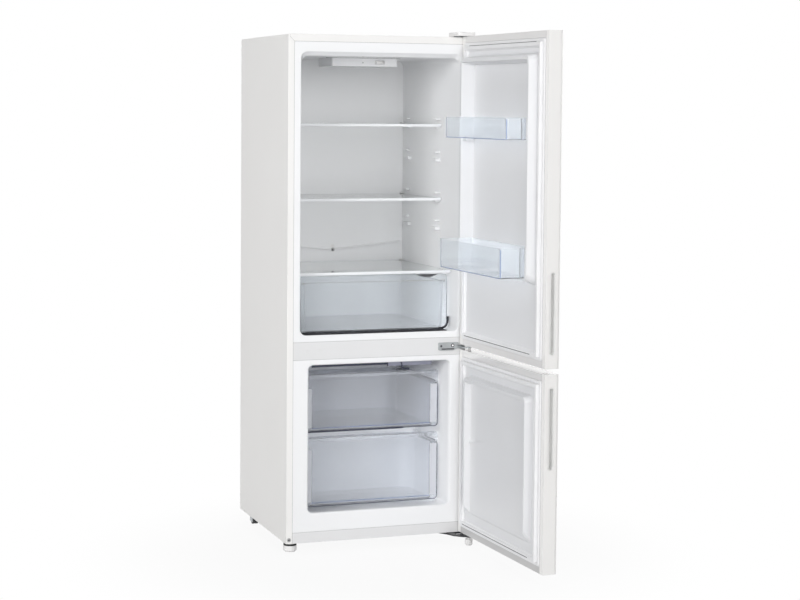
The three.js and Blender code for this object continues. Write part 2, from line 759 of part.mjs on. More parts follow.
function coolingCircuit() {
  add('compressor', compressor(), blackSteel);
  mountSpots.forEach(([dx, dy], k) => {
    const z = trayTop + fit;
    const mount = rod(9, 'z', z, z + mountHeight, compressorX + dx, compressorY + dy, 12);
    add(`compressor_mount_${k + 1}`, mount, blackRubber);
  });
  add('terminal_box', terminalBox(), blackPlastic);
  add('evaporation_pan', evaporationPan(), blackPlastic);
  add('condenser_coil', condenserCoil(), copper);
  const dischargeEnd = bayTop - 70 - fit;
  const backPort = [compressorX - 20, compressorY + potRadius + 8 + fit, portHeight];
  add('discharge_pipe', pipe([
    backPort, [backPort[0], coilInY + 8, portHeight], [coilX, coilInY, portHeight],
    [coilX, coilInY, dischargeEnd],
  ], coilTubeRadius, 6, 6), copper);
  const sidePort = compressorX + potRadius + 10 + fit;
  add('suction_pipe', pipe([
    [sidePort, compressorY + 8, portHeight], [suctionX, compressorY + 8, portHeight],
    [suctionX, suctionY, portHeight + 20], [suctionX, suctionY, bayTop + 24],
  ], 4, 10), copper);
  add('fridge_evaporator', fridgeEvaporator(), aluminium);
  add('freezer_evaporator', freezerEvaporator(), aluminium);
  add('drain_tube', pipe(drainPath, drainTubeRadius, 12, 12), greyPlastic);
}

function terminalBox() {
  const { depth, halfWidth: half, bottom, height } = terminal;
  const x = compressorX - 70 - fit;
  const z = potBottom + bottom;
  const side = roundedRectangle(compressorY - half, compressorY + half, z, z + height, 5);
  const cover = prism(side, 'x', x - depth, x, { curveSegments: 3 });
  return cut(cover, rod(4.5, 'z', z - 8, z + 12, x - depth * 0.6, compressorY + half / 2, 12));
}

function fridgeEvaporator() {
  const y = fridgeBack + linerWall + fit;
  return box(-evaporatorHalfWidth, evaporatorHalfWidth, y, y + evaporatorThickness,
    evaporatorBottom, evaporatorTop);
}

// Plate with a folded front edge, hung on four posts under the lower compartment's ceiling.
function freezerEvaporator() {
  const z = freezerTop - plateDrop;
  const x = freezerHalfWidth - plateInset;
  const back = freezerBack - 18;
  const plate = prism(
    roundedRectangle(-x, x, plateFront, back, 12), 'z', z, z + plateThickness, { curveSegments: 3 });
  const fold = box(14 - x, x - 14, plateFront, plateFront + plateThickness, z - 6, z + 1);
  const posts = [[-1, plateFront + 40], [1, plateFront + 40], [-1, back - 42], [1, back - 42]]
    .map(([side, y]) => rod(5, 'z', z + 1, freezerCeiling - fit, side * (x - 45), y, 8));
  return join(plate, fold, ...posts);
}

// ---------------------------------------------------------------- shelves, drawers and light

function shelf(name, top, front) {
  const bottom = top - glass;
  const back = fridgeBack - shelfBackGap;
  const paneFront = front + 4;
  const edge = (y) => fridgeWallX(y) - sideGap;
  const pane = polygon([
    [-edge(paneFront), paneFront], [edge(paneFront), paneFront], [edge(back), back], [-edge(back), back],
  ]);
  add(`${name}_glass`, prism(pane, 'z', bottom, top - 0.5), glassLook);
  const lip = roundedRectangle(front, front + trimDepth, top - trimHeight, top + 0.6, 1.5);
  const trimX = edge(front + trimDepth);
  const strip = prism(lip, 'x', -trimX, trimX, { curveSegments: 2 });
  const slotBack = front + trimDepth + 1;
  const slot = box(-halfWidth, halfWidth, paneFront - fit, slotBack, bottom - fit, top - 0.5 + fit);
  add(`${name}_trim`, cut(strip, slot), trimLook);
}

// Open tray with drafted walls, narrower at the floor and at the back.
function taperedTray({ halfX, y0, y1, z0, z1, radius, draft, backDraft }) {
  const ring = (z, o) => {
    const lean = (draft * (z1 - z)) / (z1 - z0);
    const x = halfX - o - lean;
    const plan = roundedRectangle(-x, x, y0 + o, y1 - o - lean, radius - o);
    const taper = (y) => 1 - ((backDraft / halfX) * (y - y0)) / (y1 - y0);
    return plan.getPoints(3).slice(0, -1).map((p) => new THREE.Vector3(p.x * taper(p.y), p.y, z));
  };
  return cut(
    loft([ring(z0, 0), ring(z1, 0)]),
    loft([ring(z0 + drawerWall, drawerWall), ring(z1 + 1, drawerWall)]));
}

function crisper() {
  const x = crisperHalfWidth;
  const body = taperedTray({
    halfX: x - 4,
    y0: crisperFront + 1,
    y1: fridgeBack - 14,
    z0: crisperBottom,
    z1: crisperRim,
    radius: 18,
    draft: trayDraft,
    backDraft: trayBackDraft / 2,
  });
  const face = crisperFront - borderDepth;
  const band = crisperTop - crisperBandDrop;
  const panel = prism(
    roundedRectangle(-x, x, crisperBottom, crisperTop, 10), 'y', crisperFront, crisperFront + frontWall);
  const border = prism(
    frame([-x, x, crisperBottom, band, 10], [-x + 15, x - 15, crisperBottom + 9, band - 3, 5]),
    'y', face, crisperFront + 1);
  const gripX = x - 61;
  const mouth = rod(75, 'y', face - 2, crisperFront + frontWall + 2, gripX, crisperTop + 67, 40);
  const hood = cut(
    rod(38, 'y', crisperFront + 1, crisperFront + 15, gripX, crisperTop + 26, 24),
    rod(36, 'y', crisperFront, crisperFront + 13, gripX, crisperTop + 26, 24),
    box(-halfWidth, halfWidth, 0, cabinetDepth, crisperTop - 1, cabinetTop));
  return join(cut(join(body, panel, border), mouth), hood);
}

// Drawer with a see-through front: a raised border at its sides and foot, a hooked lip along its top to
// pull it by, and rims along its sides that run on the liner's ledges.
function freezerDrawer(bottom, top, rimTop, back) {
  const front = freezerDrawerFront;
  const x = freezerDrawerHalfWidth;
  const trayX = runnerInner - 2;
  const body = taperedTray({
    halfX: trayX,
    y0: front + 1,
    y1: back,
    z0: bottom + 2,
    z1: rimTop,
    radius: 16,
    draft: trayDraft,
    backDraft: trayBackDraft,
  });
  const face = front - borderDepth;
  const panel = prism(roundedRectangle(-x, x, bottom, top, 9), 'y', front, front + frontWall);
  const inner = x - freezerBorderWidth;
  const hook = top - freezerBorderHeight;
  const border = prism(polygon([
    [-x + 2, rimTop], [-x, rimTop - 2], [-x, bottom + 9], [-x + 9, bottom], [x - 9, bottom], [x, bottom + 9],
    [x, rimTop - 2], [x - 2, rimTop], [inner, rimTop], [inner, bottom + freezerBorderHeight],
    [-inner, bottom + freezerBorderHeight], [-inner, rimTop],
  ]), 'y', face, front + 1);
  const lip = prism(polygon([
    [front + 1, top - 1], [front - 10, top - 1], [front - 12, top - 4], [front - 12, hook],
    [front - 9.5, hook], [front - 9.5, top - 3.5], [front + 1, top - 3.5],
  ]), 'x', -x + 9, x - 9);
  return join(body, panel, border, lip, drawerRims(trayX, front + 2, back - 14, rimTop));
}

// Flat rims on both sides of a drawer, from its drafted walls to a straight outer edge.
function drawerRims(trayX, y0, y1, top) {
  const outer = freezerWallBack - 1.6;
  const inner = trayX - 1 - trayBackDraft;
  const plan = (side) => polygon([
    [side * (trayX - 1), y0], [side * outer, y0], [side * outer, y1], [side * inner, y1],
  ]);
  const level = [top - rimHeight, top];
  return join(prism(plan(1), 'z', ...level), prism(plan(-1), 'z', ...level));
}

function controlBox() {
  const z1 = ceiling - fit;
  const z0 = z1 - controlHeight;
  const y1 = controlFront + controlDepth;
  const wall = 2;
  const x = controlHalfWidth;
  const outer = prism(roundedRectangle(-x, x, controlFront, y1, 6), 'z', z0, z1, { curveSegments: 3 });
  const inner = prism(
    roundedRectangle(-x + wall, x - wall, controlFront + wall, y1 - wall, 4),
    'z', z0 + wall, z1 + 1, { curveSegments: 3 });
  const knobY = controlFront + knobRadius - 2.5;
  const slot = box(knobX - 15, knobX + 15, controlFront - 1, controlFront + wall + 1, z0 + 7, z0 + 17);
  const lampHole = box(-82, -14, controlFront + 22, controlFront + 108, z0 - 1, z0 + wall + 1);
  const post = rod(3, 'z', z0 + 1, z0 + 16, knobX, knobY, 12);
  add('control_box', join(cut(outer, inner, slot, lampHole), post), linerWhite);
  const wheel = cut(
    rod(knobRadius, 'z', z0 + 8, z0 + 16, knobX, knobY, 24),
    rod(3 + fit, 'z', z0 + 7, z0 + 17, knobX, knobY, 12));
  const seat = cut(
    rod(8, 'z', z0 + wall + fit, z0 + 9, knobX, knobY, 12),
    rod(3 + fit, 'z', z0, z0 + 10, knobX, knobY, 12));
  add('thermostat_knob', join(wheel, seat), greyPlastic);
  const plugBack = controlFront + 108 - fit;
  const plug = box(-82 + fit, -14 - fit, controlFront + 22 + fit, plugBack, z0, z0 + wall + 1);
  const rim = box(-86, -10, controlFront + 18, controlFront + 112, z0 + wall + fit, z0 + wall + 2);
  add('lamp_lens', join(plug, rim), lensLook);
}

function interior() {
  shelf('upper_shelf', shelfHeights[0], shelfFront);
  shelf('lower_shelf', shelfHeights[1], shelfFront);
  shelf('crisper_cover', coverHeight, coverFront);
  add('crisper_drawer', crisper(), clearTray);
  add('upper_freezer_drawer',
    freezerDrawer(upperDrawerBottom, upperDrawerTop, upperDrawerRim, freezerBack - 12), clearDrawer);
  add('lower_freezer_drawer',
    freezerDrawer(lowerDrawerBottom, lowerDrawerTop, lowerDrawerRim, stepBack - 8), clearDrawer);
  controlBox();
}

// ---------------------------------------------------------------- hinges

const bracketSheet = 3;
const armX = halfWidth - 60; // inner end of the top hinge's arm
const armOuterX = halfWidth - 14;
const armOverPin = 9; // from the pin's axis to the arm's front edge
const coverRim = 3.5; // from the arm's edge to the cover's
const coverCapHeight = 11;

function topHinge() {
  const z0 = upperDoorTop + 1.2;
  const arm = prism(roundedRectangle(armX, armOuterX, pinY - armOverPin, 34, 6), 'z', z0, z0 + bracketSheet);
  const pad = box(armX + 4, armOuterX - 4, 6, 32, cabinetTop + fit, z0 + 1);
  const pin = rod(pinRadius, 'z', upperDoorTop - pinReach, z0 + 1, pinX, pinY, 16);
  return join(arm, pad, pin);
}

function topHingeCover() {
  const z0 = upperDoorTop + 0.9;
  const [x0, x1] = [armX - coverRim, armOuterX + coverRim];
  const armTop = upperDoorTop + 1.2 + bracketSheet;
  const cap = roundedRectangle(x0, x1, pinY - armOverPin - coverRim, 42, 7);
  const outer = prism(cap, 'z', z0, z0 + coverCapHeight, { bevel: 2, curveSegments: 3 });
  const skirt = box(x0 + 2, x1 - 2, 4, 39, cabinetTop + fit, z0 + 3);
  const front = pinY - armOverPin - fit;
  const room = roundedRectangle(armX - fit, armOuterX + fit, front, 34 + fit, 6);
  return cut(join(outer, skirt), prism(room, 'z', cabinetTop - 1, armTop + fit));
}

// Plate on the middle rail with a folded lower edge, and an arm that carries both doors' pins.
function middleHinge() {
  const z = doorsMiddle;
  const y1 = -fit;
  const y0 = y1 - bracketSheet;
  const left = halfWidth - 101;
  const plate = prism(polygon([
    [left + 2, z - 9], [left + 46, z - 9], [left + 58, z - 5], [pinX + 12, z - 5], [pinX + 12, z + 5],
    [left + 60, z + 5], [left + 60, z + 13], [left + 2, z + 13], [left, z + 11], [left, z - 7],
  ]), 'y', y0, y1);
  const fold = box(left + 4, left + 44, y0 - 5, y1 - 1, z - 9, z - 7);
  const arm = prism(polygon([
    [left + 52, y1], [left + 58, y0 - 6], [pinX - 13, pinY - 4], [pinX - 8, pinY - 11], [pinX, pinY - 13],
    [pinX + 9, pinY - 10], [pinX + 13, pinY - 2], [pinX + 12, y1],
  ]), 'z', z - 1.5, z + 1.5);
  const pin = rod(pinRadius, 'z', lowerDoorTop - pinReach, upperDoorBottom + pinReach, pinX, pinY, 16);
  return join(plate, fold, arm, pin);
}

// Plate under the cabinet's front corner, with the lower door's pin and the right foot's stud.
function bottomHinge() {
  const z0 = cabinetBottom - 5;
  const z1 = z0 + 3.5;
  const outline = polygon([
    [pinX - 68, 60], [pinX + 14, 60], [pinX + 16, pinY + 4], [rightFoot.x + 11, rightFoot.y - 8],
    [rightFoot.x - 2, rightFoot.y - 13], [rightFoot.x - 20, rightFoot.y - 5], [pinX - 38, pinY - 4],
    [pinX - 49, -4], [pinX - 68, 22],
  ]);
  const slot = roundedRectangle(pinX - 27, pinX - 6, pinY + 6, -3, 3);
  const plate = cut(prism(outline, 'z', z0, z1), prism(slot, 'z', z0 - 1, z1 + 1, { curveSegments: 2 }));
  const pad = box(pinX - 62, pinX + 10, 8, 56, z1 - 1, cabinetBottom - fit);
  const pin = rod(pinRadius, 'z', z0 + 1, lowerDoorBottom + pinReach, pinX, pinY, 16);
  const studHole = rod(pinRadius + fit, 'z', z0 - 1, z1 + 1, rightFoot.x, rightFoot.y, 20);
  return cut(join(plate, pad, pin), studHole);
}

function hinges() {
  add('top_hinge', topHinge(), steel);
  add('top_hinge_cover', topHingeCover(), greyPlastic);
  add('middle_hinge', middleHinge(), steel);
  add('bottom_hinge', bottomHinge(), blackSteel);
}

// ---------------------------------------------------------------- doors

// Plan of a door, pulled in by `inset`, with its back at depth `back`.
function doorPlan(inset, back) {
  const x = halfWidth - inset;
  const front = doorOuter + inset;
  const radius = Math.max(doorEdgeRadius - inset, 1);
  const shape = new THREE.Shape();
  shape.moveTo(-x, back);
  shape.lineTo(-x, front + radius);
  shape.absarc(-x + radius, front + radius, radius, Math.PI, Math.PI * 1.5);
  shape.lineTo(x - radius, front);
  shape.absarc(x - radius, front + radius, radius, -Math.PI / 2, 0);
  shape.lineTo(x, back);
  return shape;
}

function doorPanel(z0, z1, gripSpace) {
  const round = { curveSegments: 5 };
  const whole = prism(doorPlan(0, doorInner), 'z', z0, z1, round);
  const inside = prism(doorPlan(sheet, doorInner - sheet), 'z', z0 - 1, z1 + 1, round);
  const back = box(-flangeX, flangeX, doorInner - sheet - 1, doorInner + 1, z0 - 1, z1 + 1);
  return cut(whole, inside, back, gripSpace);
}

// End cap: a tray that opens towards the foam, with a boss for the hinge pin.
function doorCap(outerEnd, inwards) {
  const span = (a, b) => [outerEnd + inwards * a, outerEnd + inwards * b].sort((p, q) => p - q);
  const inset = sheet + fit;
  const round = { curveSegments: 5 };
  const back = doorInner - inset;
  const [z0, z1] = span(0, capHeight);
  const block = prism(doorPlan(inset, back), 'z', z0, z1, round);
  const band = box(-flangeX + fit, flangeX - fit, back - 1, doorInner, z0, z1);
  const pocket = prism(doorPlan(inset + capWall, back - capWall), 'z', ...span(3, capHeight + 1), round);
  const boss = rod(bossRadius, 'z', ...span(1, capHeight), pinX, pinY, 16);
  const bore = rod(pinRadius + fit, 'z', ...span(-1, pinReach + 1.5), pinX, pinY, 16);
  return cut(join(cut(join(block, band), pocket), boss), bore);
}

function gripShape(o, z0) {
  const near = doorInner - gripInset + o;
  const far = near - gripWidth - 2 * o;
  return roundedRectangle(far, near, z0 - o, z0 + gripLength + o, 6 + o);
}

// Finger pocket in the door's free edge.
function gripInsert(z0) {
  const x = -halfWidth;
  const outer = prism(gripShape(gripWall, z0), 'x', x, x + gripDepth + gripWall);
  return cut(outer, prism(gripShape(0, z0), 'x', x - 1, x + gripDepth));
}

function gripRoom(z0) {
  return prism(gripShape(gripWall + fit, z0), 'x', -halfWidth - 1, -halfWidth + gripDepth + gripWall + fit);
}

// Outside of the raised ribs with leaning flanks, moved inwards by `o`.
function ribsOutside({ halfX, z0, z1, radius, slope, endLean, height }, o) {
  const ring = (lean, end, y) => wallRing({
    halfX: halfX - o - lean, z0: z0 + o + end, z1: z1 - o - lean, radius: radius - o, y,
  });
  return loft([ring(0, 0, dykeRoot - o), ring(slope, endLean, doorInner + height - o)]);
}

// Air between the ribs, from the panel outwards, grown by `o`, down to `bottom`.
function ribsAir({ halfX, z1, foot, slope, height, panel }, o, bottom) {
  const inset = foot - o;
  const ring = (lean, y) => wallRing({
    halfX: halfX - inset + lean, z0: bottom - lean - o, z1: z1 - inset + lean, radius: 6 + o, y,
  });
  return loft([ring(0, doorInner + panel - o), ring(slope, doorInner + height + 1)]);
}

// The upper door's ribs are open below, where the sunk panel between them ends in a step.
function upperForms(o) {
  const { halfX, z0, height } = upperDyke;
  const mouth = box(-halfX, halfX, doorInner - o, doorInner + height + 2, z0 - 30, z0 + 30);
  return {
    outside: ribsOutside(upperDyke, o),
    air: [ribsAir(upperDyke, o, z0 + 6), ribsAir(upperDyke, o, z0 - 25).intersect(mouth)],
    ridges: [],
  };
}

// The lower door's raised panel runs down to the ribs' foot, with a crease across it.
function lowerForms(o) {
  const outside = ribsOutside(lowerDyke, o);
  return { outside, air: [ribsAir(lowerDyke, o, lowerDyke.z0 - 25)], ridges: [doorCrease(o)] };
}

// Low ridge that starts at the hinge side and runs out towards the middle of the panel.
function doorCrease(o) {
  const near = lowerDyke.halfX - lowerDyke.foot + lowerDyke.slope;
  const far = 40;
  const base = doorInner + lowerDyke.panel - 2 - o;
  const end = creaseLevel + creaseRise;
  return wasm.Manifold.hull([
    [near, base, creaseLevel - 9], [near, base, creaseLevel + 9],
    [near, base + 2 + creaseHeight, creaseLevel],
    [far, base, end - 4], [far, base, end + 4], [far, base + 2, end],
  ]);
}

// A slab or core with the ribs put on it and the air between them taken out.
function shaped(base, { outside, air, ridges }) {
  return join(cut(join(base, outside), ...air), ...ridges);
}

function doorLiner(z0, z1, forms) {
  const edge = capHeight + fit;
  const slab = (o) => box(-flangeX + fit - o, flangeX - fit + o, dykeRoot - 10 - o, doorInner - o,
    z0 + edge - o, z1 - edge + o);
  return cut(shaped(slab(0), forms(0)), shaped(slab(linerWall), forms(linerWall)));
}

function doorFoam(z0, z1, gripSpace, forms) {
  const inset = sheet + fit;
  const back = doorInner - linerWall - fit;
  const round = { curveSegments: 3 };
  const core = prism(doorPlan(inset, back), 'z', z0 + capHeight + fit, z1 - capHeight - fit, round);
  const ends = prism(doorPlan(inset + capWall + fit, back - capWall), 'z', z0 + 3 + fit, z1 - 3 - fit, round);
  const bosses = [[z0, z0 + capHeight + 2 * fit], [z1 - capHeight - 2 * fit, z1]]
    .map(([from, to]) => rod(bossRadius + fit, 'z', from, to, pinX, pinY, 16));
  return cut(shaped(join(core, ends), forms(linerWall + fit)), ...bosses, gripSpace);
}

function doorSeal(z0, z1) {
  const x = flangeX - fit - 1;
  const [a, b] = [z0 + doorBand + fit + 1, z1 - doorBand - fit - 1];
  const w = sealWidth;
  const ring = frame([-x, x, a, b, 8], [-x + w, x - w, a + w, b - w, 3]);
  return prism(ring, 'y', doorInner + fit, -fit);
}

// Ledges on the inner flanks of the ribs, under a bin.
function binLugs(bin) {
  const { halfX, foot, slope, height, panel } = upperDyke;
  const flankX = (y) => halfX - foot + (slope * (y - doorInner - panel)) / (height + 1 - panel);
  const top = bin.bottom - fit;
  return wallStrip(binHalfWidth - 7, flankX, doorInner + 4, doorInner + 26, top - lugHeight, top);
}

// Clear bin that stands on the ledges, wider where it passes in front of the ribs.
function doorBin({ bottom, height, reach }) {
  const step = doorInner + upperDyke.height + 2;
  const plan = (o) => {
    const shape = new THREE.Shape();
    const inner = binHalfWidth - o;
    const x = inner + binStep;
    const [y0, y1] = [doorInner + 2.5 + o, doorInner + reach - o];
    const radius = binCorner - o;
    shape.moveTo(-inner, y0);
    shape.lineTo(inner, y0);
    shape.lineTo(inner, step + o);
    shape.lineTo(x, step + binStep + o);
    shape.lineTo(x, y1 - radius);
    shape.absarc(x - radius, y1 - radius, radius, 0, Math.PI / 2);
    shape.lineTo(-x + radius, y1);
    shape.absarc(-x + radius, y1 - radius, radius, Math.PI / 2, Math.PI);
    shape.lineTo(-x, step + binStep + o);
    shape.lineTo(-inner, step + o);
    return shape;
  };
  const top = bottom + height;
  const rim = prism(plan(-1.5), 'z', top - 4, top, { curveSegments: 4 });
  const body = prism(plan(0), 'z', bottom, top - 1, { curveSegments: 4 });
  return cut(join(body, rim), prism(plan(binWall), 'z', bottom + binWall, top + 1, { curveSegments: 4 }));
}

// A group that turns about the hinge pins and holds pieces modelled in the closed place.
function doorGroup() {
  const swing = new THREE.Group();
  swing.position.set(pinX, pinY, 0);
  swing.rotation.z = THREE.MathUtils.degToRad(doorOpenAngle);
  const closed = new THREE.Group();
  closed.position.set(-pinX, -pinY, 0);
  swing.add(closed);
  fridge.add(swing);
  return closed;
}

function door(name, { z0, z1, gripBottom, forms, lugs }) {
  const group = doorGroup();
  const room = gripRoom(gripBottom);
  addTo(group, `${name}_panel`, doorPanel(z0, z1, room), white);
  addTo(group, `${name}_top_cap`, doorCap(z1, -1), white);
  addTo(group, `${name}_bottom_cap`, doorCap(z0, 1), white);
  addTo(group, `${name}_foam`, doorFoam(z0, z1, room, forms), foamLook);
  addTo(group, `${name}_liner`, join(doorLiner(z0, z1, forms), ...lugs), linerWhite);
  addTo(group, `${name}_seal`, doorSeal(z0, z1), rubber);
  addTo(group, `${name}_grip`, gripInsert(gripBottom), white);
  return group;
}

function doors() {
  const upper = door('upper_door', {
    z0: upperDoorBottom,
    z1: upperDoorTop,
    gripBottom: upperDoorBottom + gripFromGap,
    forms: upperForms,
    lugs: [binLugs(upperBin), binLugs(lowerBin)],
  });
  addTo(upper, 'upper_door_bin', doorBin(upperBin), clearTray);
  addTo(upper, 'lower_door_bin', doorBin(lowerBin), clearTray);
  door('lower_door', {
    z0: lowerDoorBottom,
    z1: lowerDoorTop,
    gripBottom: lowerDoorTop - gripFromGap - gripLength,
    forms: lowerForms,
    lugs: [],
  });
}

// ---------------------------------------------------------------- the whole refrigerator

cabinet();
feet();
coolingCircuit();
interior();
hinges();
doors();

// The origin is the middle of the bounding box, on the floor.
const bounds = new THREE.Box3().setFromObject(fridge);
const middle = bounds.getCenter(new THREE.Vector3());
fridge.position.set(-middle.x, -middle.y, -bounds.min.z);

export default fridge;
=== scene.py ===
import json
import math

import bmesh
import bpy
from mathutils import Matrix, Vector


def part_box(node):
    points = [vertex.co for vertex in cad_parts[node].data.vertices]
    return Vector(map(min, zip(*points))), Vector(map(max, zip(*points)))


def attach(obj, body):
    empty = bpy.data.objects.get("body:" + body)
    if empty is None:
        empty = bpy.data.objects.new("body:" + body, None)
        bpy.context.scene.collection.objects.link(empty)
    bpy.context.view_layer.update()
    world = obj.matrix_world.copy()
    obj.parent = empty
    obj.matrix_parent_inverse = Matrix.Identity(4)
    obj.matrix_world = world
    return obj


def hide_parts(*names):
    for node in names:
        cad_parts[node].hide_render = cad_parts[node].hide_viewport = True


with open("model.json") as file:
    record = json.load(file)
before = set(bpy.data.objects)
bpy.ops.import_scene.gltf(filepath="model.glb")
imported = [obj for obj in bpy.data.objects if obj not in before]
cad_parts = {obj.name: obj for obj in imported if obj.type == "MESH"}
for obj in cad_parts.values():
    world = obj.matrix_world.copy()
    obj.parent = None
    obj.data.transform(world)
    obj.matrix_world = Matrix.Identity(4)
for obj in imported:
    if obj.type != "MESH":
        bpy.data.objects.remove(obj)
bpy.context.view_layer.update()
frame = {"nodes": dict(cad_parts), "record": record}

# ---------------------------------------------------------------- places, in millimetres of the cabinet
# x runs from the middle to the right, y from the front edge to the back, z from the floor up.

HALF_WIDTH = 275.0
CABINET_TOP = 1450.0
CABINET_BOTTOM = 30.0
BACK_PANEL = 493.0
FLANGE_X = 257.0  # inner edge of the shell's turned-in front, at the sides
FLANGE_TOP = CABINET_TOP - 20.0  # the same at the top
RAIL_TOP = 595.0
RAIL_BOTTOM = 545.5
KICK_TOP = 60.0

PIN_X = 253.7
PIN_Y = -26.0
OPEN_ANGLE = 92.0
DOOR_INNER = -12.0  # inner face of the closed doors
UPPER_DOOR = (575.0, 1451.5)  # bottom and top
LOWER_DOOR = (33.5, 560.5)

RIGHT = (1, 0, 0)
FORWARD = (0, -1, 0)
BACKWARD = (0, 1, 0)
UP = (0, 0, 1)
DOWN = (0, 0, -1)

left_side_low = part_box("left_side_panel")[0]
ORIGIN = Vector((left_side_low.x + HALF_WIDTH / 1000, left_side_low.y, 0.0))
STILL = Matrix.Translation(ORIGIN) @ Matrix.Scale(0.001, 4)
SWUNG = (STILL @ Matrix.Translation((PIN_X, PIN_Y, 0.0)) @ Matrix.Rotation(math.radians(OPEN_ANGLE), 4, "Z")
         @ Matrix.Translation((-PIN_X, -PIN_Y, 0.0)))


def place(x, y, z):
    """A point of the cabinet in millimetres, in the scene's frame in metres."""
    return ORIGIN + Vector((x, y, z)) / 1000


# ---------------------------------------------------------------- materials

COAT_ROUGHNESS = 0.12
GLOSS_SPREAD = 0.05
GRAIN_DEPTH = 0.0004  # metres
BEVEL_SAMPLES = 4
FACE_PASSES = 0.97  # share of the light that a shadow ray keeps at each face of a clear piece


def new_material(name):
    mat = bpy.data.materials.new(name)
    mat.use_nodes = True
    mat.node_tree.nodes.clear()
    return mat, mat.node_tree.nodes, mat.node_tree.links


def noise(nodes, links, scale, detail=2.0):
    coords = nodes.new("ShaderNodeTexCoord")
    tex = nodes.new("ShaderNodeTexNoise")
    tex.inputs["Scale"].default_value = scale
    tex.inputs["Detail"].default_value = detail
    tex.inputs["Roughness"].default_value = 0.5
    links.new(coords.outputs["Object"], tex.inputs["Vector"])
    return tex


def two_tones(nodes, links, dark, light, scale):
    """A colour that drifts slowly between two tones over the surface."""
    drift = noise(nodes, links, scale)
    tint = nodes.new("ShaderNodeValToRGB")
    for element, at, tone in zip(tint.color_ramp.elements, (0.3, 0.7), (dark, light)):
        element.position = at
        element.color = (*tone, 1.0)
    links.new(drift.outputs["Fac"], tint.inputs["Fac"])
    return tint.outputs["Color"]


def shade(color, factor):
    return tuple(min(1.0, c * factor) for c in color)


def tinted(nodes, links, shader, color, scale, vary):
    tint = two_tones(nodes, links, shade(color, 1 - vary), shade(color, 1 + vary), scale)
    links.new(tint, shader.inputs["Base Color"])


def uneven_gloss(nodes, links, shader, scale, low, high):
    gloss = noise(nodes, links, scale)
    spread = nodes.new("ShaderNodeMapRange")
    spread.inputs["To Min"].default_value = low
    spread.inputs["To Max"].default_value = high
    links.new(gloss.outputs["Fac"], spread.inputs["Value"])
    links.new(spread.outputs["Result"], shader.inputs["Roughness"])


def surface(name, color, rough=0.4, vary=0.008, scale=30.0, bump=0.05, bump_scale=900.0, metallic=0.0,
            coat=0.0, edge=0.0):
    """Opaque plastic, paint, rubber or metal: slow colour drift, fine grain and uneven gloss.

    Corners look rounded by the radius edge, in metres.
    """
    mat, nodes, links = new_material(name)
    out = nodes.new("ShaderNodeOutputMaterial")
    shader = nodes.new("ShaderNodeBsdfPrincipled")
    shader.inputs["Metallic"].default_value = metallic
    shader.inputs["Coat Weight"].default_value = coat
    shader.inputs["Coat Roughness"].default_value = COAT_ROUGHNESS
    tinted(nodes, links, shader, color, scale, vary)
    uneven_gloss(nodes, links, shader, scale * 3, max(0.02, rough - GLOSS_SPREAD), rough + GLOSS_SPREAD)
    grain = noise(nodes, links, bump_scale, 3.0)
    relief = nodes.new("ShaderNodeBump")
    relief.inputs["Strength"].default_value = bump
    relief.inputs["Distance"].default_value = GRAIN_DEPTH
    links.new(grain.outputs["Fac"], relief.inputs["Height"])
    if edge:
        rounding = nodes.new("ShaderNodeBevel")
        rounding.samples = BEVEL_SAMPLES
        rounding.inputs["Radius"].default_value = edge
        links.new(rounding.outputs["Normal"], relief.inputs["Normal"])
    links.new(relief.outputs["Normal"], shader.inputs["Normal"])
    links.new(shader.outputs["BSDF"], out.inputs["Surface"])
    return mat


def clear(name, color, rough, ior, haze):
    """Clear tinted plastic or glass. Shadow rays pass through, so what stands inside stays lit."""
    mat, nodes, links = new_material(name)
    out = nodes.new("ShaderNodeOutputMaterial")
    shader = nodes.new("ShaderNodeBsdfPrincipled")
    shader.inputs["Transmission Weight"].default_value = 1.0 - haze
    shader.inputs["IOR"].default_value = ior
    tinted(nodes, links, shader, color, scale=9.0, vary=0.015)
    uneven_gloss(nodes, links, shader, 40.0, rough * 0.7, rough * 1.4)
    through = nodes.new("ShaderNodeBsdfTransparent")
    through.inputs["Color"].default_value = (*(math.sqrt(c) * FACE_PASSES for c in color), 1.0)
    path = nodes.new("ShaderNodeLightPath")
    mix = nodes.new("ShaderNodeMixShader")
    links.new(path.outputs["Is Shadow Ray"], mix.inputs["Fac"])
    links.new(shader.outputs["BSDF"], mix.inputs[1])
    links.new(through.outputs["BSDF"], mix.inputs[2])
    links.new(mix.outputs["Shader"], out.inputs["Surface"])
    return mat


WHITE_PLASTIC = dict(rough=0.36, scale=4.0, bump=0.03, edge=0.002)
SATIN_CAP = dict(scale=4.0, bump=0.02, bump_scale=700.0, edge=0.001)
JOINT = dict(rough=0.7, vary=0.05, scale=40.0, bump_scale=700.0)

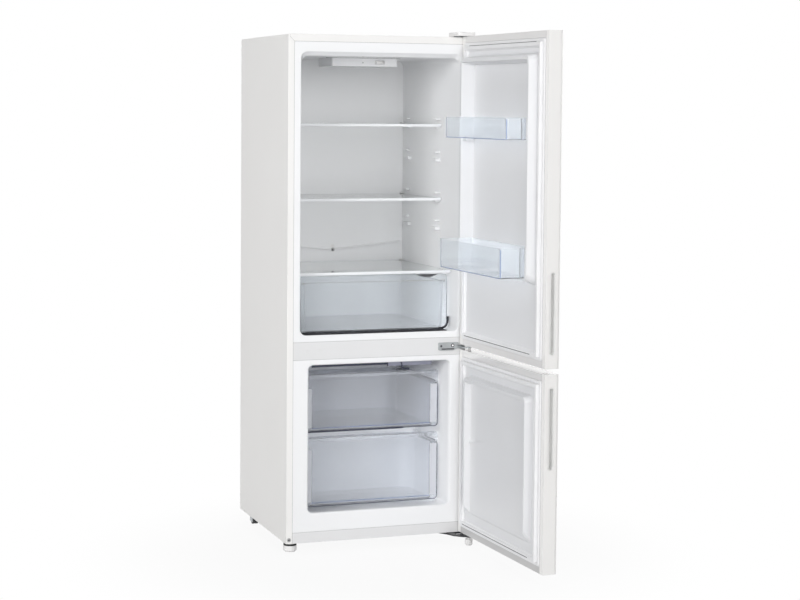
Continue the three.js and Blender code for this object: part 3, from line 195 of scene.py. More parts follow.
SURFACES = {
    "painted_white": dict(color=(0.925, 0.915, 0.90), scale=3.0, bump_scale=420.0, coat=0.15, edge=0.0015),
    "liner_white": dict(WHITE_PLASTIC, color=(0.935, 0.94, 0.95)),
    "rail_grey": dict(color=(0.80, 0.80, 0.805), rough=0.42, scale=5.0, bump=0.04, edge=0.001),
    "foam": dict(color=(0.78, 0.72, 0.48), rough=0.85, vary=0.08, bump=0.5, bump_scale=260.0),
    "zinc_steel": dict(color=(0.46, 0.48, 0.50), rough=0.42, vary=0.1, scale=60.0, bump=0.06,
                       bump_scale=500.0, metallic=0.8),
    "hinge_steel": dict(color=(0.44, 0.46, 0.47), rough=0.36, vary=0.08, scale=40.0, bump=0.08,
                        metallic=0.7, edge=0.0006),
    "black_steel": dict(color=(0.018, 0.018, 0.022), rough=0.35, vary=0.1, scale=20.0, bump=0.08,
                        bump_scale=500.0, coat=0.3, edge=0.001),
    "copper_tube": dict(color=(0.62, 0.24, 0.11), rough=0.3, vary=0.15, scale=50.0, bump_scale=600.0,
                        metallic=1.0),
    "aluminium_plate": dict(color=(0.68, 0.69, 0.80), rough=0.5, vary=0.05, bump_scale=600.0, metallic=0.2),
    "seal_rubber": dict(color=(0.87, 0.87, 0.88), rough=0.55, vary=0.02, scale=20.0, bump=0.06),
    "black_rubber": dict(color=(0.012, 0.012, 0.013), rough=0.75, vary=0.15, scale=60.0, bump=0.2,
                         edge=0.001),
    "black_plastic": dict(color=(0.016, 0.017, 0.02), rough=0.45, vary=0.1, scale=40.0, bump=0.1,
                          edge=0.001),
    "grey_plastic": dict(color=(0.90, 0.89, 0.885), rough=0.42, vary=0.02, edge=0.001),
    "shelf_trim": dict(color=(0.93, 0.94, 0.96), rough=0.25, vary=0.01, bump=0.02, coat=0.3, edge=0.001),
    "lamp_lens_plastic": dict(color=(0.90, 0.91, 0.92), rough=0.3, vary=0.02, scale=20.0, bump=0.04,
                              bump_scale=300.0),
    # looks beside the slots of the record
    # lighter than the other caps as painted light on the lower door's top, besides its gloss
    "glossy_cap_painted_light": dict(SATIN_CAP, color=(0.88, 0.87, 0.86), rough=0.14, coat=1.0),
    "satin_cap_white": dict(SATIN_CAP, color=(0.80, 0.79, 0.785), rough=0.35),
    # darker than the other caps as painted shade on the lower door's bottom
    "satin_cap_painted_shade": dict(SATIN_CAP, color=(0.60, 0.595, 0.595), vary=0.01),
    # the same plastic as the cabinet liner, drawn darker on the doors as painted shade
    "door_liner_painted_shade": dict(WHITE_PLASTIC, color=(0.80, 0.805, 0.82)),
    # white as painted light inside the grip pockets, where shade falls
    "grip_painted_light_white": dict(color=(0.93, 0.93, 0.92), rough=0.3, scale=6.0, bump=0.02, bump_scale=700.0, coat=0.5),
    "shaded_plate": dict(color=(0.34, 0.35, 0.44), rough=0.5, vary=0.02, bump_scale=600.0),
    # black of painted shadow in the gaps round the crisper
    "painted_shadow_black": dict(color=(0.008, 0.008, 0.014), rough=0.7, vary=0.1, bump_scale=600.0),
    "seam_shadow": dict(JOINT, color=(0.46, 0.46, 0.46)),
    # dark of joints and sockets, and of painted shade at folds and in the grip's mouth
    "seam_and_shadow_dark": dict(JOINT, color=(0.07, 0.07, 0.075)),
    # navy of painted shade along dark edges, gaps and tubes
    "painted_shade_navy": dict(color=(0.035, 0.04, 0.07), rough=0.3, vary=0.1, bump=0.04, bump_scale=700.0),
    "glass_edge": dict(color=(0.42, 0.46, 0.48), rough=0.2, vary=0.06, scale=60.0, bump=0.02,
                       bump_scale=800.0, coat=0.5),
    "polished_screw": dict(color=(0.92, 0.92, 0.92), rough=0.15, vary=0.02, scale=60.0, bump=0.02,
                           bump_scale=800.0, metallic=0.3, coat=1.0),
}
CLEARS = {
    "clear_tray": dict(color=(0.865, 0.885, 0.905), rough=0.05, ior=1.35, haze=0.15),
    # darker than the lower drawer's copy below, as painted shade under the evaporator
    "clear_drawer": dict(color=(0.775, 0.79, 0.82), rough=0.06, ior=1.35, haze=0.16),
    "shelf_glass": dict(color=(0.95, 0.965, 0.96), rough=0.02, ior=1.45, haze=0.04),
    # looks beside the slots of the record
    # the same plastic as clear_drawer in a lighter tone; the two differ by painted shade
    "clear_drawer_painted_lighter": dict(color=(0.835, 0.85, 0.875), rough=0.06, ior=1.35, haze=0.16),
    "frosted_border": dict(color=(0.78, 0.79, 0.82), rough=0.35, ior=1.35, haze=0.5),
    "blue_edge": dict(color=(0.30, 0.38, 0.60), rough=0.08, ior=1.3, haze=0.5),
}
LOOKS = {name: surface(name, **look) for name, look in SURFACES.items()}
LOOKS.update({name: clear(name, **look) for name, look in CLEARS.items()})
SLOT_OF = {part["node"]: part["material_slot"] for part in frame["record"]["subparts"]}
BODY_OF = {n: body for body, nodes in frame["record"]["behaviour"]["bodies"].items() for n in nodes}


def paint_solids():
    """Every solid gets the material of its slot, also where a finer piece replaces it later."""
    for name, slot in SLOT_OF.items():
        materials = frame["nodes"][name].data.materials
        materials.clear()
        materials.append(LOOKS[slot])


paint_solids()

# ---------------------------------------------------------------- mesh building

SMOOTH_BELOW = 38.0  # edges flatter than this many degrees are shaded smooth
FLAT_BELOW = 0.3  # faces that turn by less than this many degrees are joined
WELD = 1e-6
NORMAL_WEIGHT = 80
SMALLEST_RADIUS = 0.05
CORNER_STEPS = 5


def rounded_ring(rect, inset, radius, y):
    """Points of a rounded rectangle, drawn in from the given one, in the plane at depth y."""
    x0, x1, z0, z1 = rect[0] + inset, rect[1] - inset, rect[2] + inset, rect[3] - inset
    radius = max(radius - inset, SMALLEST_RADIUS)
    corners = [(x1 - radius, z0 + radius, -90), (x1 - radius, z1 - radius, 0),
               (x0 + radius, z1 - radius, 90), (x0 + radius, z0 + radius, 180)]
    points = []
    for cx, cz, start in corners:
        for k in range(CORNER_STEPS + 1):
            angle = math.radians(start + 90 * k / CORNER_STEPS)
            points.append(Vector((cx + radius * math.cos(angle), y, cz + radius * math.sin(angle))))
    return points


def circle(radius, steps):
    """Pairs that go once round a circle."""
    angles = [2 * math.pi * k / steps for k in range(steps)]
    return [(radius * math.cos(a), radius * math.sin(a)) for a in angles]


def soften(bm, degrees):
    limit = math.radians(degrees)
    for face in bm.faces:
        face.smooth = True
    for edge in bm.edges:
        edge.smooth = len(edge.link_faces) == 2 and edge.calc_face_angle(0.0) < limit


def dress(name, bm, body, slot, look, replaces=(), smooth=SMOOTH_BELOW):
    """Turns a mesh in the scene's frame into a piece with a look, on its body; the slot is not used."""
    soften(bm, smooth)
    mesh = bpy.data.meshes.new(name)
    bm.to_mesh(mesh)
    bm.free()
    mesh.materials.append(LOOKS[look])
    piece = bpy.data.objects.new(name, mesh)
    bpy.context.scene.collection.objects.link(piece)
    weighted = piece.modifiers.new("normals", "WEIGHTED_NORMAL")
    weighted.keep_sharp = True
    weighted.weight = NORMAL_WEIGHT
    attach(piece, body)
    if replaces:
        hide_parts(*replaces)


class Shape:
    """Collects forms in millimetres of the cabinet and turns them into one piece of the scene."""

    def __init__(self):
        self.bm = bmesh.new()

    def verts(self, points):
        return [self.bm.verts.new(p) for p in points]

    def bridge(self, low, high, closed=True):
        """Faces between two rows of points; a row of one point gives a fan."""
        count = max(len(low), len(high))
        for k in range(count if closed else count - 1):
            after = (k + 1) % count
            corners = [low[k % len(low)], low[after % len(low)], high[after % len(high)], high[k % len(high)]]
            face = list(dict.fromkeys(corners))
            if len(face) > 2:
                self.bm.faces.new(face)

    def box(self, x_span, y_span, z_span, radius=0.0, segments=2):
        spans = (x_span, y_span, z_span)
        made = bmesh.ops.create_cube(self.bm, size=1.0)["verts"]
        for v in made:
            v.co = Vector([low + (c + 0.5) * (high - low) for c, (low, high) in zip(v.co, spans)])
        if radius:
            edges = list(dict.fromkeys(e for v in made for e in v.link_edges))
            bmesh.ops.bevel(self.bm, geom=edges, offset=radius, segments=segments, profile=0.5,
                            affect="EDGES")

    def lathe(self, profile, centre, axis, steps):
        """Profile of (radius, height) pairs turned about an axis through the centre."""
        turn = Vector(axis).to_track_quat("Z", "Y")
        middle = Vector(centre)
        rings = []
        for radius, height in profile:
            ring = circle(radius, steps) if radius else [(0, 0)]
            rings.append(self.verts(middle + turn @ Vector((a, b, height)) for a, b in ring))
        for low, high in zip(rings, rings[1:]):
            self.bridge(low, high)

    def tube(self, points, radius, sides=8):
        """Round bar along the points, with flat ends."""
        path = [Vector(p) for p in points]
        last = len(path) - 1
        rings = []
        normal = None
        for k, p in enumerate(path):
            ahead = (path[min(k + 1, last)] - path[max(k - 1, 0)]).normalized()
            normal = ahead.orthogonal() if normal is None else normal - normal.dot(ahead) * ahead
            normal = normal.normalized()
            side = ahead.cross(normal)
            rings.append(self.verts(p + a * normal + b * side for a, b in circle(radius, sides)))
        for low, high in zip(rings, rings[1:]):
            self.bridge(low, high)
        self.bm.faces.new(rings[0])
        self.bm.faces.new(list(reversed(rings[-1])))

    def swept(self, profile, rect, radius):
        """Closed profile of (inward, depth) pairs carried round a rounded rectangle."""
        rows = [self.verts(rounded_ring(rect, inward, radius, y)) for inward, y in profile]
        for low, high in zip(rows, rows[1:] + rows[:1]):
            self.bridge(low, high)

    def finish(self, name, body, slot, look=None, replaces=(), swung=False, smooth=SMOOTH_BELOW):
        """Without a look of its own, the piece has the material of its slot."""
        self.bm.transform(SWUNG if swung else STILL)
        bmesh.ops.recalc_face_normals(self.bm, faces=self.bm.faces)
        dress(name, self.bm, body, slot, look or slot, replaces, smooth)


def rounded_copy(node, slot=None, look=None, reshape=None):
    """The same form as a CAD node, with its facets blended and its flat faces kept flat."""
    source = frame["nodes"][node]
    bm = bmesh.new()
    bm.from_mesh(source.data)
    bm.transform(source.matrix_world)
    bmesh.ops.remove_doubles(bm, verts=bm.verts, dist=WELD)
    if reshape:
        reshape(bm)
    bmesh.ops.dissolve_limit(bm, angle_limit=math.radians(FLAT_BELOW), verts=bm.verts, edges=bm.edges)
    slot = slot or SLOT_OF[node]
    dress(node + "_finish", bm, BODY_OF[node], slot, look or slot, (node,))


def ribs_further_back(bm):
    """The ribs under the crisper begin behind its front, out of sight."""
    front, further_back = 22.0, 104.0
    x_low, x_high = 168.0, 182.0
    z_low, z_high = 605.0, 617.0
    for v in bm.verts:
        x, y, z = (v.co - ORIGIN) * 1000
        if abs(y - front) < 0.5 and x_low < abs(x) < x_high and z_low < z < z_high:
            v.co.y = place(x, further_back, z).y


# Solids that are dressed in the material of their slot.
SLOT_DRESSED = (
    "freezer_liner", "upper_door_panel", "lower_door_panel", "upper_door_bin", "lower_door_bin",
    "crisper_drawer", "upper_freezer_drawer", "upper_shelf_trim", "lower_shelf_trim", "crisper_cover_trim",
    "control_box", "thermostat_knob", "top_hinge_cover", "left_foot", "right_foot", "evaporation_pan",
    "condenser_coil", "discharge_pipe", "suction_pipe",
)
# Solids that need a tone of their own.
OTHERWISE_DRESSED = {
    "upper_door_grip": "grip_painted_light_white",
    "lower_door_grip": "grip_painted_light_white",
    "upper_door_liner": "door_liner_painted_shade",
    "lower_door_liner": "door_liner_painted_shade",
    "upper_door_top_cap": "satin_cap_white",
    "upper_door_bottom_cap": "satin_cap_white",
    "lower_door_top_cap": "glossy_cap_painted_light",
    "lower_door_bottom_cap": "satin_cap_painted_shade",
    "lower_freezer_drawer": "clear_drawer_painted_lighter",
}


def dress_solids():
    """The solids that stay in sight are replaced by copies with smoother faces."""
    rounded_copy("fridge_liner", reshape=ribs_further_back)
    for name in SLOT_DRESSED:
        rounded_copy(name)
    for name, look in OTHERWISE_DRESSED.items():
        rounded_copy(name, look=look)
    for name in ("left_rear_roller", "right_rear_roller"):
        rounded_copy(name, slot="black_plastic")


dress_solids()

# ---------------------------------------------------------------- forms that repeat

SUNK = 0.6  # how far a screw or plug reaches into the face that it sits on
PLUG_HEIGHT = 0.6


def about(middle, half):
    """The span that reaches equally far to both sides of the middle."""
    return middle - half, middle + half


def screw(shape, spot, axis, radius, height):
    """Pan head with a rounded rim."""
    shape.lathe([(0, height), (radius * 0.55, height), (radius * 0.9, height * 0.7), (radius, height * 0.3),
                 (radius, -SUNK), (0, -SUNK)], spot, axis, 20)


def plug(shape, spot, axis, radius):
    """Low plug with a broken edge."""
    shape.lathe([(0, 0.9), (radius - 0.7, 0.7), (radius, 0), (radius, -SUNK), (0, -SUNK)], spot, axis, 20)


def bored_disc(shape, spot, hole, radius, height, inward, along, steps):
    """Upright disc with a hole, its two outer edges broken by inward and along."""
    shape.lathe([(hole, 0), (radius - inward, 0), (radius, along), (radius, height - along),
                 (radius - inward, height), (hole, height), (hole, 0)], spot, UP, steps)


# ---------------------------------------------------------------- seams and screws of the cabinet

def front_seams():
    """Thin dark joints of the shell's turned-in edge, the liners' flanges, the rail and the kick strip."""
    y_span = (-0.12, 0.3)
    half = 0.45
    aside = 0.15
    seams = Shape()
    for x in (-FLANGE_X - aside, FLANGE_X + aside):
        seams.box(about(x, half), y_span, (CABINET_BOTTOM + 0.5, FLANGE_TOP - 0.4))
    for z in (FLANGE_TOP - aside, RAIL_TOP + aside, RAIL_BOTTOM - aside, KICK_TOP + aside):
        seams.box((-FLANGE_X, FLANGE_X), y_span, about(z, half))
    mitre_x, mitre_z = FLANGE_X + 0.2, FLANGE_TOP - 0.2
    mitre = 13.0
    y = 0.2
    for side in (-1, 1):
        outer_x, outer_z = side * (mitre_x + mitre), mitre_z + mitre
        seams.tube([(side * mitre_x, y, mitre_z), (outer_x, y, outer_z)], 0.42, 6)
        seams.tube([(outer_x, y, outer_z), (outer_x, y, CABINET_TOP - 1.4)], 0.36, 6)
    seams.finish("front_seams", "cabinet", "rail_grey", "seam_shadow")


def cabinet_screws():
    """Screw at the free lower corner, and plugs where the hinges go when the doors change sides."""
    corner_x, corner_z = -267.0, 41.0
    head_height = 1.0
    head = Shape()
    screw(head, (corner_x, 0.0, corner_z), FORWARD, 6.0, head_height)
    head.finish("front_corner_screw", "cabinet", "hinge_steel", "seam_shadow")
    socket = Shape()
    socket.lathe([(0, 0.4), (2.4, 0.35), (3.0, -0.2), (3.0, -0.5), (0, -0.5)],
                 (corner_x, -head_height, corner_z), FORWARD, 16)
    socket.finish("front_corner_screw_socket", "cabinet", "black_steel", "seam_and_shadow_dark")
    plugs = Shape()
    rail_z = 571.0
    top_y = 20.0
    for x in (-217.0, -181.0):
        screw(plugs, (x, 0.0, rail_z), FORWARD, 4.2, PLUG_HEIGHT)
    for x in (-PIN_X, -215.0):
        screw(plugs, (x, top_y, CABINET_TOP), UP, 5.0, PLUG_HEIGHT)
    plugs.finish("hinge_change_plugs", "cabinet", "rail_grey")


def back_details():
    """Screws round the back panel and the stiffening beads pressed into it."""
    rows = (275.0, 560.0, 860.0, 1150.0, 1436.0)
    spots = [(x, z) for z in rows for x in (-262.0, 262.0)]
    spots += [(x, z) for x in (-130.0, 0.0, 130.0) for z in (rows[0], rows[-1])]
    heads = Shape()
    for x, z in spots:
        screw(heads, (x, BACK_PANEL, z), BACKWARD, 3.6, 1.6)
    heads.finish("back_panel_screws", "cabinet", "hinge_steel")
    beads = Shape()
    for x in (-195.0, -65.0, 65.0, 195.0):
        beads.box(about(x, 7.0), (BACK_PANEL - 0.4, BACK_PANEL + 1.6), (330.0, 1380.0), 1.4, 3)
    beads.finish("back_panel_beads", "cabinet", "zinc_steel")


front_seams()
cabinet_screws()
back_details()

# ---------------------------------------------------------------- inside of the upper compartment

# Top and front of each pane.
SHELVES = {"upper_shelf": (1202.0, 133.0), "lower_shelf": (987.5, 133.0), "crisper_cover": (782.5, 52.0)}
SHELF_TRIM_DEPTH = 13.0
SHELF_BACK = 446.2
GLASS_HALF = 2.25
CLIP_Y = 440.0
DRAIN = (0.0, 446.4, 817.5)
CONTROL_FRONT = 155.0
CRISPER_FACE = 57.9


def wall_x(y):
    """Half the width between the side walls, which draw in towards the back."""
    mouth_y, mouth_half, depth, draft = 14.0, 234.0, 440.0, 8.0
    return mouth_half - draft * (y - mouth_y) / depth


def shelf_details():
    """Ground edges of each pane and the clips that hold it at the back."""
    for name, (top, front) in SHELVES.items():
        z = top - GLASS_HALF
        edges = Shape()
        for side in (-1, 1):
            depths = (front + SHELF_TRIM_DEPTH, SHELF_BACK)
            edges.tube([(side * (wall_x(y) - 2.3), y, z) for y in depths], 1.7)
        edges.tube([(side * (wall_x(SHELF_BACK) - 2.5), SHELF_BACK, z) for side in (-1, 1)], 1.6)
        edges.finish(name + "_glass_edge", "cabinet", "shelf_glass", "glass_edge")
        clips = Shape()
        for side in (-1, 1):
            x = side * (wall_x(CLIP_Y) - 7.0)
            for low, high in ((-9.0, -5.0), (0.2, 3.4)):
                clips.box(about(x, 5.0), (CLIP_Y - 3.0, CLIP_Y + 9.0), (top + low, top + high), 1.2)
        clips.finish(name + "_rear_clips", "cabinet", "grey_plastic")


def drain_details():
    """Mouth of the drain in the gutter's lowest point."""
    mouth = Shape()
    mouth.lathe([(0, 0.3), (3.4, 0.4), (4.8, 0.9), (5.6, 0.2), (5.6, -2.0), (0, -2.0)], DRAIN, FORWARD, 24)
    mouth.finish("drain_mouth", "cabinet", "grey_plastic", "seam_shadow")
    x, y, z = DRAIN
    bore = Shape()
    bore.lathe([(0, 0.2), (2.6, 0.2), (2.6, -0.6), (0, -0.6)], (x - 0.6, y - 0.5, z - 0.5), FORWARD, 20)
    bore.finish("drain_bore", "cabinet", "black_plastic")


def control_details():
    """Plugs, dial marks, the joint over the control box drawn dark as painted shadow, and the ribs of its
    lamp lens.
    """
    y = CONTROL_FRONT
    plugs = Shape()
    plug(plugs, (-6.1, y, 1377.4), FORWARD, 2.4)
    plug(plugs, (-49.1, 28.0, 1391.0), DOWN, 2.6)
    plugs.finish("control_box_plugs", "cabinet", "liner_white", "polished_screw")
    marks = Shape()
    marks.box((34.8, 36.4), (y - 0.25, y + 0.2), (1375.2, 1380.2), 0.1, 1)
    first_mark, mark_step, slant = 41.5, 3.6, 3.0
    for k in range(4):
        x = first_mark + mark_step * k
        marks.tube([(x, y - 0.05, 1376.0), (x + slant, y - 0.05, 1381.0)], 0.6, 6)
    marks.finish("control_box_dial_marks", "cabinet", "grey_plastic", "seam_shadow")
    joint = Shape()
    joint.box((-118.0, 108.0), (y - 1.5, y + 0.5), (1389.6, 1391.2), 0.3, 1)
    joint.finish("control_box_joint_shadow", "cabinet", "rail_grey", "seam_shadow")
    ribs = Shape()
    first_rib, rib_step, rib_width = -80.5, 5.4, 2.2
    for k in range(13):
        x = first_rib + rib_step * k
        ribs.box((x, x + rib_width), (179.0, 261.0), (1366.0, 1367.2), 0.5, 1)
    ribs.finish("lamp_lens_ribs", "cabinet", "lamp_lens_plastic")


def crisper_lines():
    """Lines along the front's upper edge and its right side, and the rim behind."""
    face = CRISPER_FACE
    lines = Shape()
    lines.box((-211.0, 92.0), (face - 0.25, face + 0.3), (754.4, 755.6), 0.2, 1)
    lines.box((92.0, 216.0), (face - 0.35, face + 0.3), (753.6, 755.6), 0.3, 1)
    lines.box((-214.0, -205.0), (face - 0.35, face + 0.3), (751.0, 754.6), 0.8)
    lines.finish("crisper_front_line", "crisper", "clear_tray", "seam_shadow")
    rim = Shape()
    rim_z = 749.6
    half_rim = [(217.6, 70.0), (211.0, 430.0), (196.0, 438.6)]
    left_half = [(-x, y, rim_z) for x, y in half_rim]
    right_half = [(x, y, rim_z) for x, y in reversed(half_rim)]
    rim.tube(left_half + right_half, 1.6)
    rim.finish("crisper_rim", "crisper", "clear_tray")
    # painted shade along the crisper's right side and round its lower right corner
    side = Shape()
    path = [(221.2, 752.0), (221.2, 628.0), (219.0, 620.5), (213.0, 616.4)]
    side.tube([(x, face, z) for x, z in path], 0.7, 6)
    side.finish("crisper_side_line", "crisper", "clear_tray", "painted_shade_navy")


def crisper_gap_shadows():
    """Painted shadow: a black sheet below the crisper, which stays in the cabinet, and a black band round its
    lower right corner.
    """
    mat = Shape()
    mat.box((-225.0, 207.0), (19.0, 72.0), (611.2, 614.3), 0.8)
    mat.finish("crisper_floor_painted_shadow", "cabinet", "black_rubber", "painted_shadow_black")
    corner = Shape()
    path = [(196.0, 614.9), (208.0, 615.2), (216.0, 618.0), (221.5, 623.5), (224.6, 631.0), (225.6, 640.0),
            (226.0, 648.0)]
    corner.tube([(x, CRISPER_FACE + 2.6, z) for x, z in path], 3.5)
    corner.finish("crisper_corner_gap_shadow", "crisper", "black_rubber", "painted_shadow_black")


def crisper_grip_shadow():
    """Dark crescent in the mouth of the finger grip."""
    middle, half, radius, drop = 161.0, 32.0, 75.0, 8.0
    top = 772.0
    steps = 14
    front, back = 61.2, 62.4
    arc = []
    for k in range(steps + 1):
        aside = half * (2 * k / steps - 1)
        arc.append((middle + aside, top + radius - drop - math.sqrt(radius ** 2 - aside ** 2)))
    crescent = Shape()
    low, back_low = (crescent.verts((x, y, z) for x, z in arc) for y in (front, back))
    high, back_high = (crescent.verts((x, y, top) for x, _ in arc) for y in (front, back))
    for row, next_row in ((low, high), (back_high, back_low), (high, back_high), (back_low, low)):
        crescent.bridge(row, next_row, closed=False)
    crescent.finish("crisper_grip_shadow", "crisper", "clear_tray", "seam_and_shadow_dark")


shelf_details()
drain_details()
control_details()
crisper_lines()
crisper_gap_shadows()
crisper_grip_shadow()

# ---------------------------------------------------------------- inside of the lower compartment

DRAWER_FRONT = 73.6
DRAWER_HALF = 202.4


def evaporator_details():
    """Painted shade: dark edge and shaded face of the plate's front, dark tube hooking round it, dark tubes
    under it.
    """
    half, dark_end = 181.0, 48.0
    front, back, top = 69.0, 70.2, 520.6
    edge = Shape()
    edge.box((-half, dark_end), (front, back), (513.6, top), 0.4, 1)
    edge.box((dark_end - 4.0, dark_end), (front, back), (508.6, 514.6), 0.4, 1)
    edge.finish("evaporator_front_edge", "cabinet", "aluminium_plate", "painted_shade_navy")
    face = Shape()
    face.box((dark_end + 0.4, half), (front + 0.2, back), (509.6, top), 0.4, 1)
    face.finish("evaporator_front_face", "cabinet", "aluminium_plate", "shaded_plate")
    tubes = Shape()
    tubes.tube([(86.0, 70.5, 521.0), (88.2, 70.5, 517.0), (91.0, 71.0, 504.0), (94.5, 71.5, 500.6),
                (104.0, 73.0, 499.2), (113.0, 74.0, 498.4)], 2.6, 10)
    first_tube, tube_step = 100.0, 48.0
    for k in range(6):
        y = first_tube + tube_step * k
        tubes.tube([(-165.0, y, 518.6), (165.0, y, 518.6)], 3.2, 10)
    tubes.finish("evaporator_tubes", "cabinet", "aluminium_plate", "painted_shade_navy")


def drawer_edges(name, body, bottom, rim, back, line):
    """Dark outlines of a see-through front, painted shade along its thick edges, and its frosted borders."""
    x, y = DRAWER_HALF, DRAWER_FRONT
    line_end = 96.0  # right of this the bottom's outline is as thin as the right side's
    outline = Shape()
    outline.tube([(-x + 7, y, bottom + 0.6), (line_end, y, bottom + 0.6)], line)
    outline.tube([(line_end, y, bottom + 1.0), (x - 8, y, bottom + 1.0), (x - 2.4, y, bottom + 4.0),
                  (x - 0.4, y, bottom + 9.0), (x - 0.4, y, rim - 2.0)], 1.1)
    outline.tube([(-x + 8, y, bottom + 0.8), (-x + 2.4, y, bottom + 4.0), (-x + 0.6, y, bottom + 9.0),
                  (-x + 0.6, y, rim - 2.0)], 1.0)
    outline.finish(name + "_front_edge", body, "clear_drawer", "painted_shade_navy")
    lip = Shape()
    lip.tube([(side * (x - 24), y - 0.2, bottom + 11.0) for side in (-1, 1)], 0.8)
    lip.finish(name + "_lip_edge", body, "clear_drawer", "blue_edge")
    border = Shape()
    for side in (-1, 1):
        border.box(about(side * 189.25, 9.75), (y - 0.3, y + 0.2), (bottom + 12.0, rim - 3.0), 0.2, 1)
    border.finish(name + "_frosted_border", body, "clear_drawer", "frosted_border")
    shadow = Shape()
    for side in (-1, 1):
        shadow.tube([(side * 196.5, 82.0, rim + 5.0), (side * 196.5, 195.0, rim + 4.0),
                     (side * 195.5, back, rim + 1.5)], 2.2)
    shadow.finish(name + "_rim_shadow", body, "clear_drawer", "painted_shade_navy")


evaporator_details()
drawer_edges("upper_freezer_drawer", "upper_drawer", bottom=328.0, rim=455.0, back=300.0, line=2.3)
drawer_edges("lower_freezer_drawer", "lower_drawer", bottom=114.5, rim=281.0, back=210.0, line=1.2)

# ---------------------------------------------------------------- doors

GASKET_HALF = 255.7
GASKET_MARGIN = 19.3  # from the door's bottom and top
GASKET_CORNER = 8.0
GASKET_SEAT = DOOR_INNER + 0.3
GASKET_PROFILE = [
    (0.0, 0.0), (0.0, 2.4), (0.8, 3.2), (6.8, 3.2), (7.4, 2.6), (7.6, 0.8), (8.8, 0.8), (9.2, 3.2),
    (9.0, 8.6), (10.2, 11.3), (18.4, 11.3), (19.6, 10.2), (19.4, 7.5), (18.2, 5.0), (20.0, 3.4), (22.5, 2.4),
    (24.0, 0.8), (24.0, 0.0),
]


def gasket(name, bottom, top):
    """Soft profile round the door: a flat foot, a groove and the raised bulge that meets the cabinet."""
    rect = (-GASKET_HALF, GASKET_HALF, bottom + GASKET_MARGIN, top - GASKET_MARGIN)
    seal = Shape()
    seal.swept([(inward, GASKET_SEAT + depth) for inward, depth in GASKET_PROFILE], rect, GASKET_CORNER)
    seal.finish(name + "_gasket", name, "seal_rubber", replaces=(name + "_seal",), swung=True, smooth=50)


def gasket_fold_shade(name, folds):
    """Painted shade: dark lines along the bulge, each given by its height and its front."""
    lines = Shape()
    for z, front in folds:
        lines.box((-205.0, 222.0), (front - 1.2, front), about(z, 0.9), 0.1, 1)
    lines.finish(name + "_gasket_fold_shade", name, "seal_rubber", "seam_and_shadow_dark", swung=True)


def door_seam(name, bottom, top):
    """Joint between the outer panel and the liner along the free side."""
    x, y = -FLANGE_X, DOOR_INNER
    seam = Shape()
    seam.box((x - 0.6, x + 0.4), (y - 0.3, y + 0.15), (bottom + 1.0, top - 1.0))
    seam.finish(name + "_seams", name, "seal_rubber", "seam_shadow", swung=True)


def pin_hole_plugs(name, bottom, top):
    """Plugs in the holes that take the hinge pins when the door is hung on the other side."""
    plugs = Shape()
    for z, axis in ((top, UP), (bottom, DOWN)):
        screw(plugs, (-PIN_X, PIN_Y, z), axis, 7.0, PLUG_HEIGHT)
    plugs.finish(name + "_pin_hole_plugs", name, "painted_white", swung=True)


def bin_edges(name, body, bottom, top, reach):
    """Tinted edges along the bin's bottom and its two front corners."""
    half = 200.0
    front = DOOR_INNER + reach
    edges = Shape()
    edges.tube([(side * (half - 7), front - 0.4, bottom + 0.8) for side in (-1, 1)], 1.0)
    for side in (-1, 1):
        x, y = side * (half - 2.4), front - 2.4
        edges.tube([(x, y, bottom + 1.0), (x, y, top - 4.5)], 1.2)
    edges.finish(name + "_edges", body, "clear_tray", "blue_edge", swung=True)


for door, span in (("upper_door", UPPER_DOOR), ("lower_door", LOWER_DOOR)):
    gasket(door, *span)
    door_seam(door, *span)
    pin_hole_plugs(door, *span)
gasket_fold_shade("upper_door", ((UPPER_DOOR[0] + 31.3, -0.3), (UPPER_DOOR[1] - 27.6, -8.1)))
gasket_fold_shade("lower_door", ((LOWER_DOOR[0] + 32.3, -0.3),))
bin_edges("upper_door_bin", "upper_bin", bottom=1168.0, top=1225.0, reach=84.0)
bin_edges("lower_door_bin", "lower_bin", bottom=806.0, top=886.0, reach=97.5)

# ---------------------------------------------------------------- hinges and feet

MIDDLE_HINGE_SCREW = (217.0, 572.0)
# Under and over the middle hinge's arm, and at the bottom hinge.
BUSH_SPANS = ((560.8, 566.0), (569.5, 574.7), (28.7, 33.2))
LEFT_FOOT = (-251.0, 43.0)


def hinge_details():
    """Washers, screw and a painted shadow over the fold of the middle hinge, and the bushes of the middle and
    bottom hinges.
    """
    x, z = MIDDLE_HINGE_SCREW
    plate_face = -3.3
    washers = Shape()
    washers.lathe([(0, 1.0), (4.4, 1.0), (5.2, 0.4), (5.2, -0.4), (0, -0.4)], (x, plate_face, z),
                  FORWARD, 24)
    washers.lathe([(0, 0.8), (3.2, 0.8), (3.6, -0.4), (0, -0.4)], (182.5, plate_face, 570.5), FORWARD, 20)
    washers.finish("middle_hinge_washers", "cabinet", "hinge_steel", "black_steel")
    head = Shape()
    screw(head, (x, plate_face - 1.0, z), FORWARD, 3.0, 1.8)
    head.finish("middle_hinge_screw", "cabinet", "hinge_steel", "polished_screw")
    fold = Shape()
    fold.box((183.0, 222.0), (-4.2, -3.2), (560.9, 563.6), 0.4, 1)
    fold.finish("middle_hinge_fold_shadow", "cabinet", "hinge_steel", "seam_and_shadow_dark")
    bushes = Shape()
    for bottom, top in BUSH_SPANS:
        bored_disc(bushes, (PIN_X, PIN_Y, bottom), 4.4, 7.8, top - bottom, 0.4, 0.6, 28)
    bushes.finish("hinge_bushes", "cabinet", "grey_plastic")


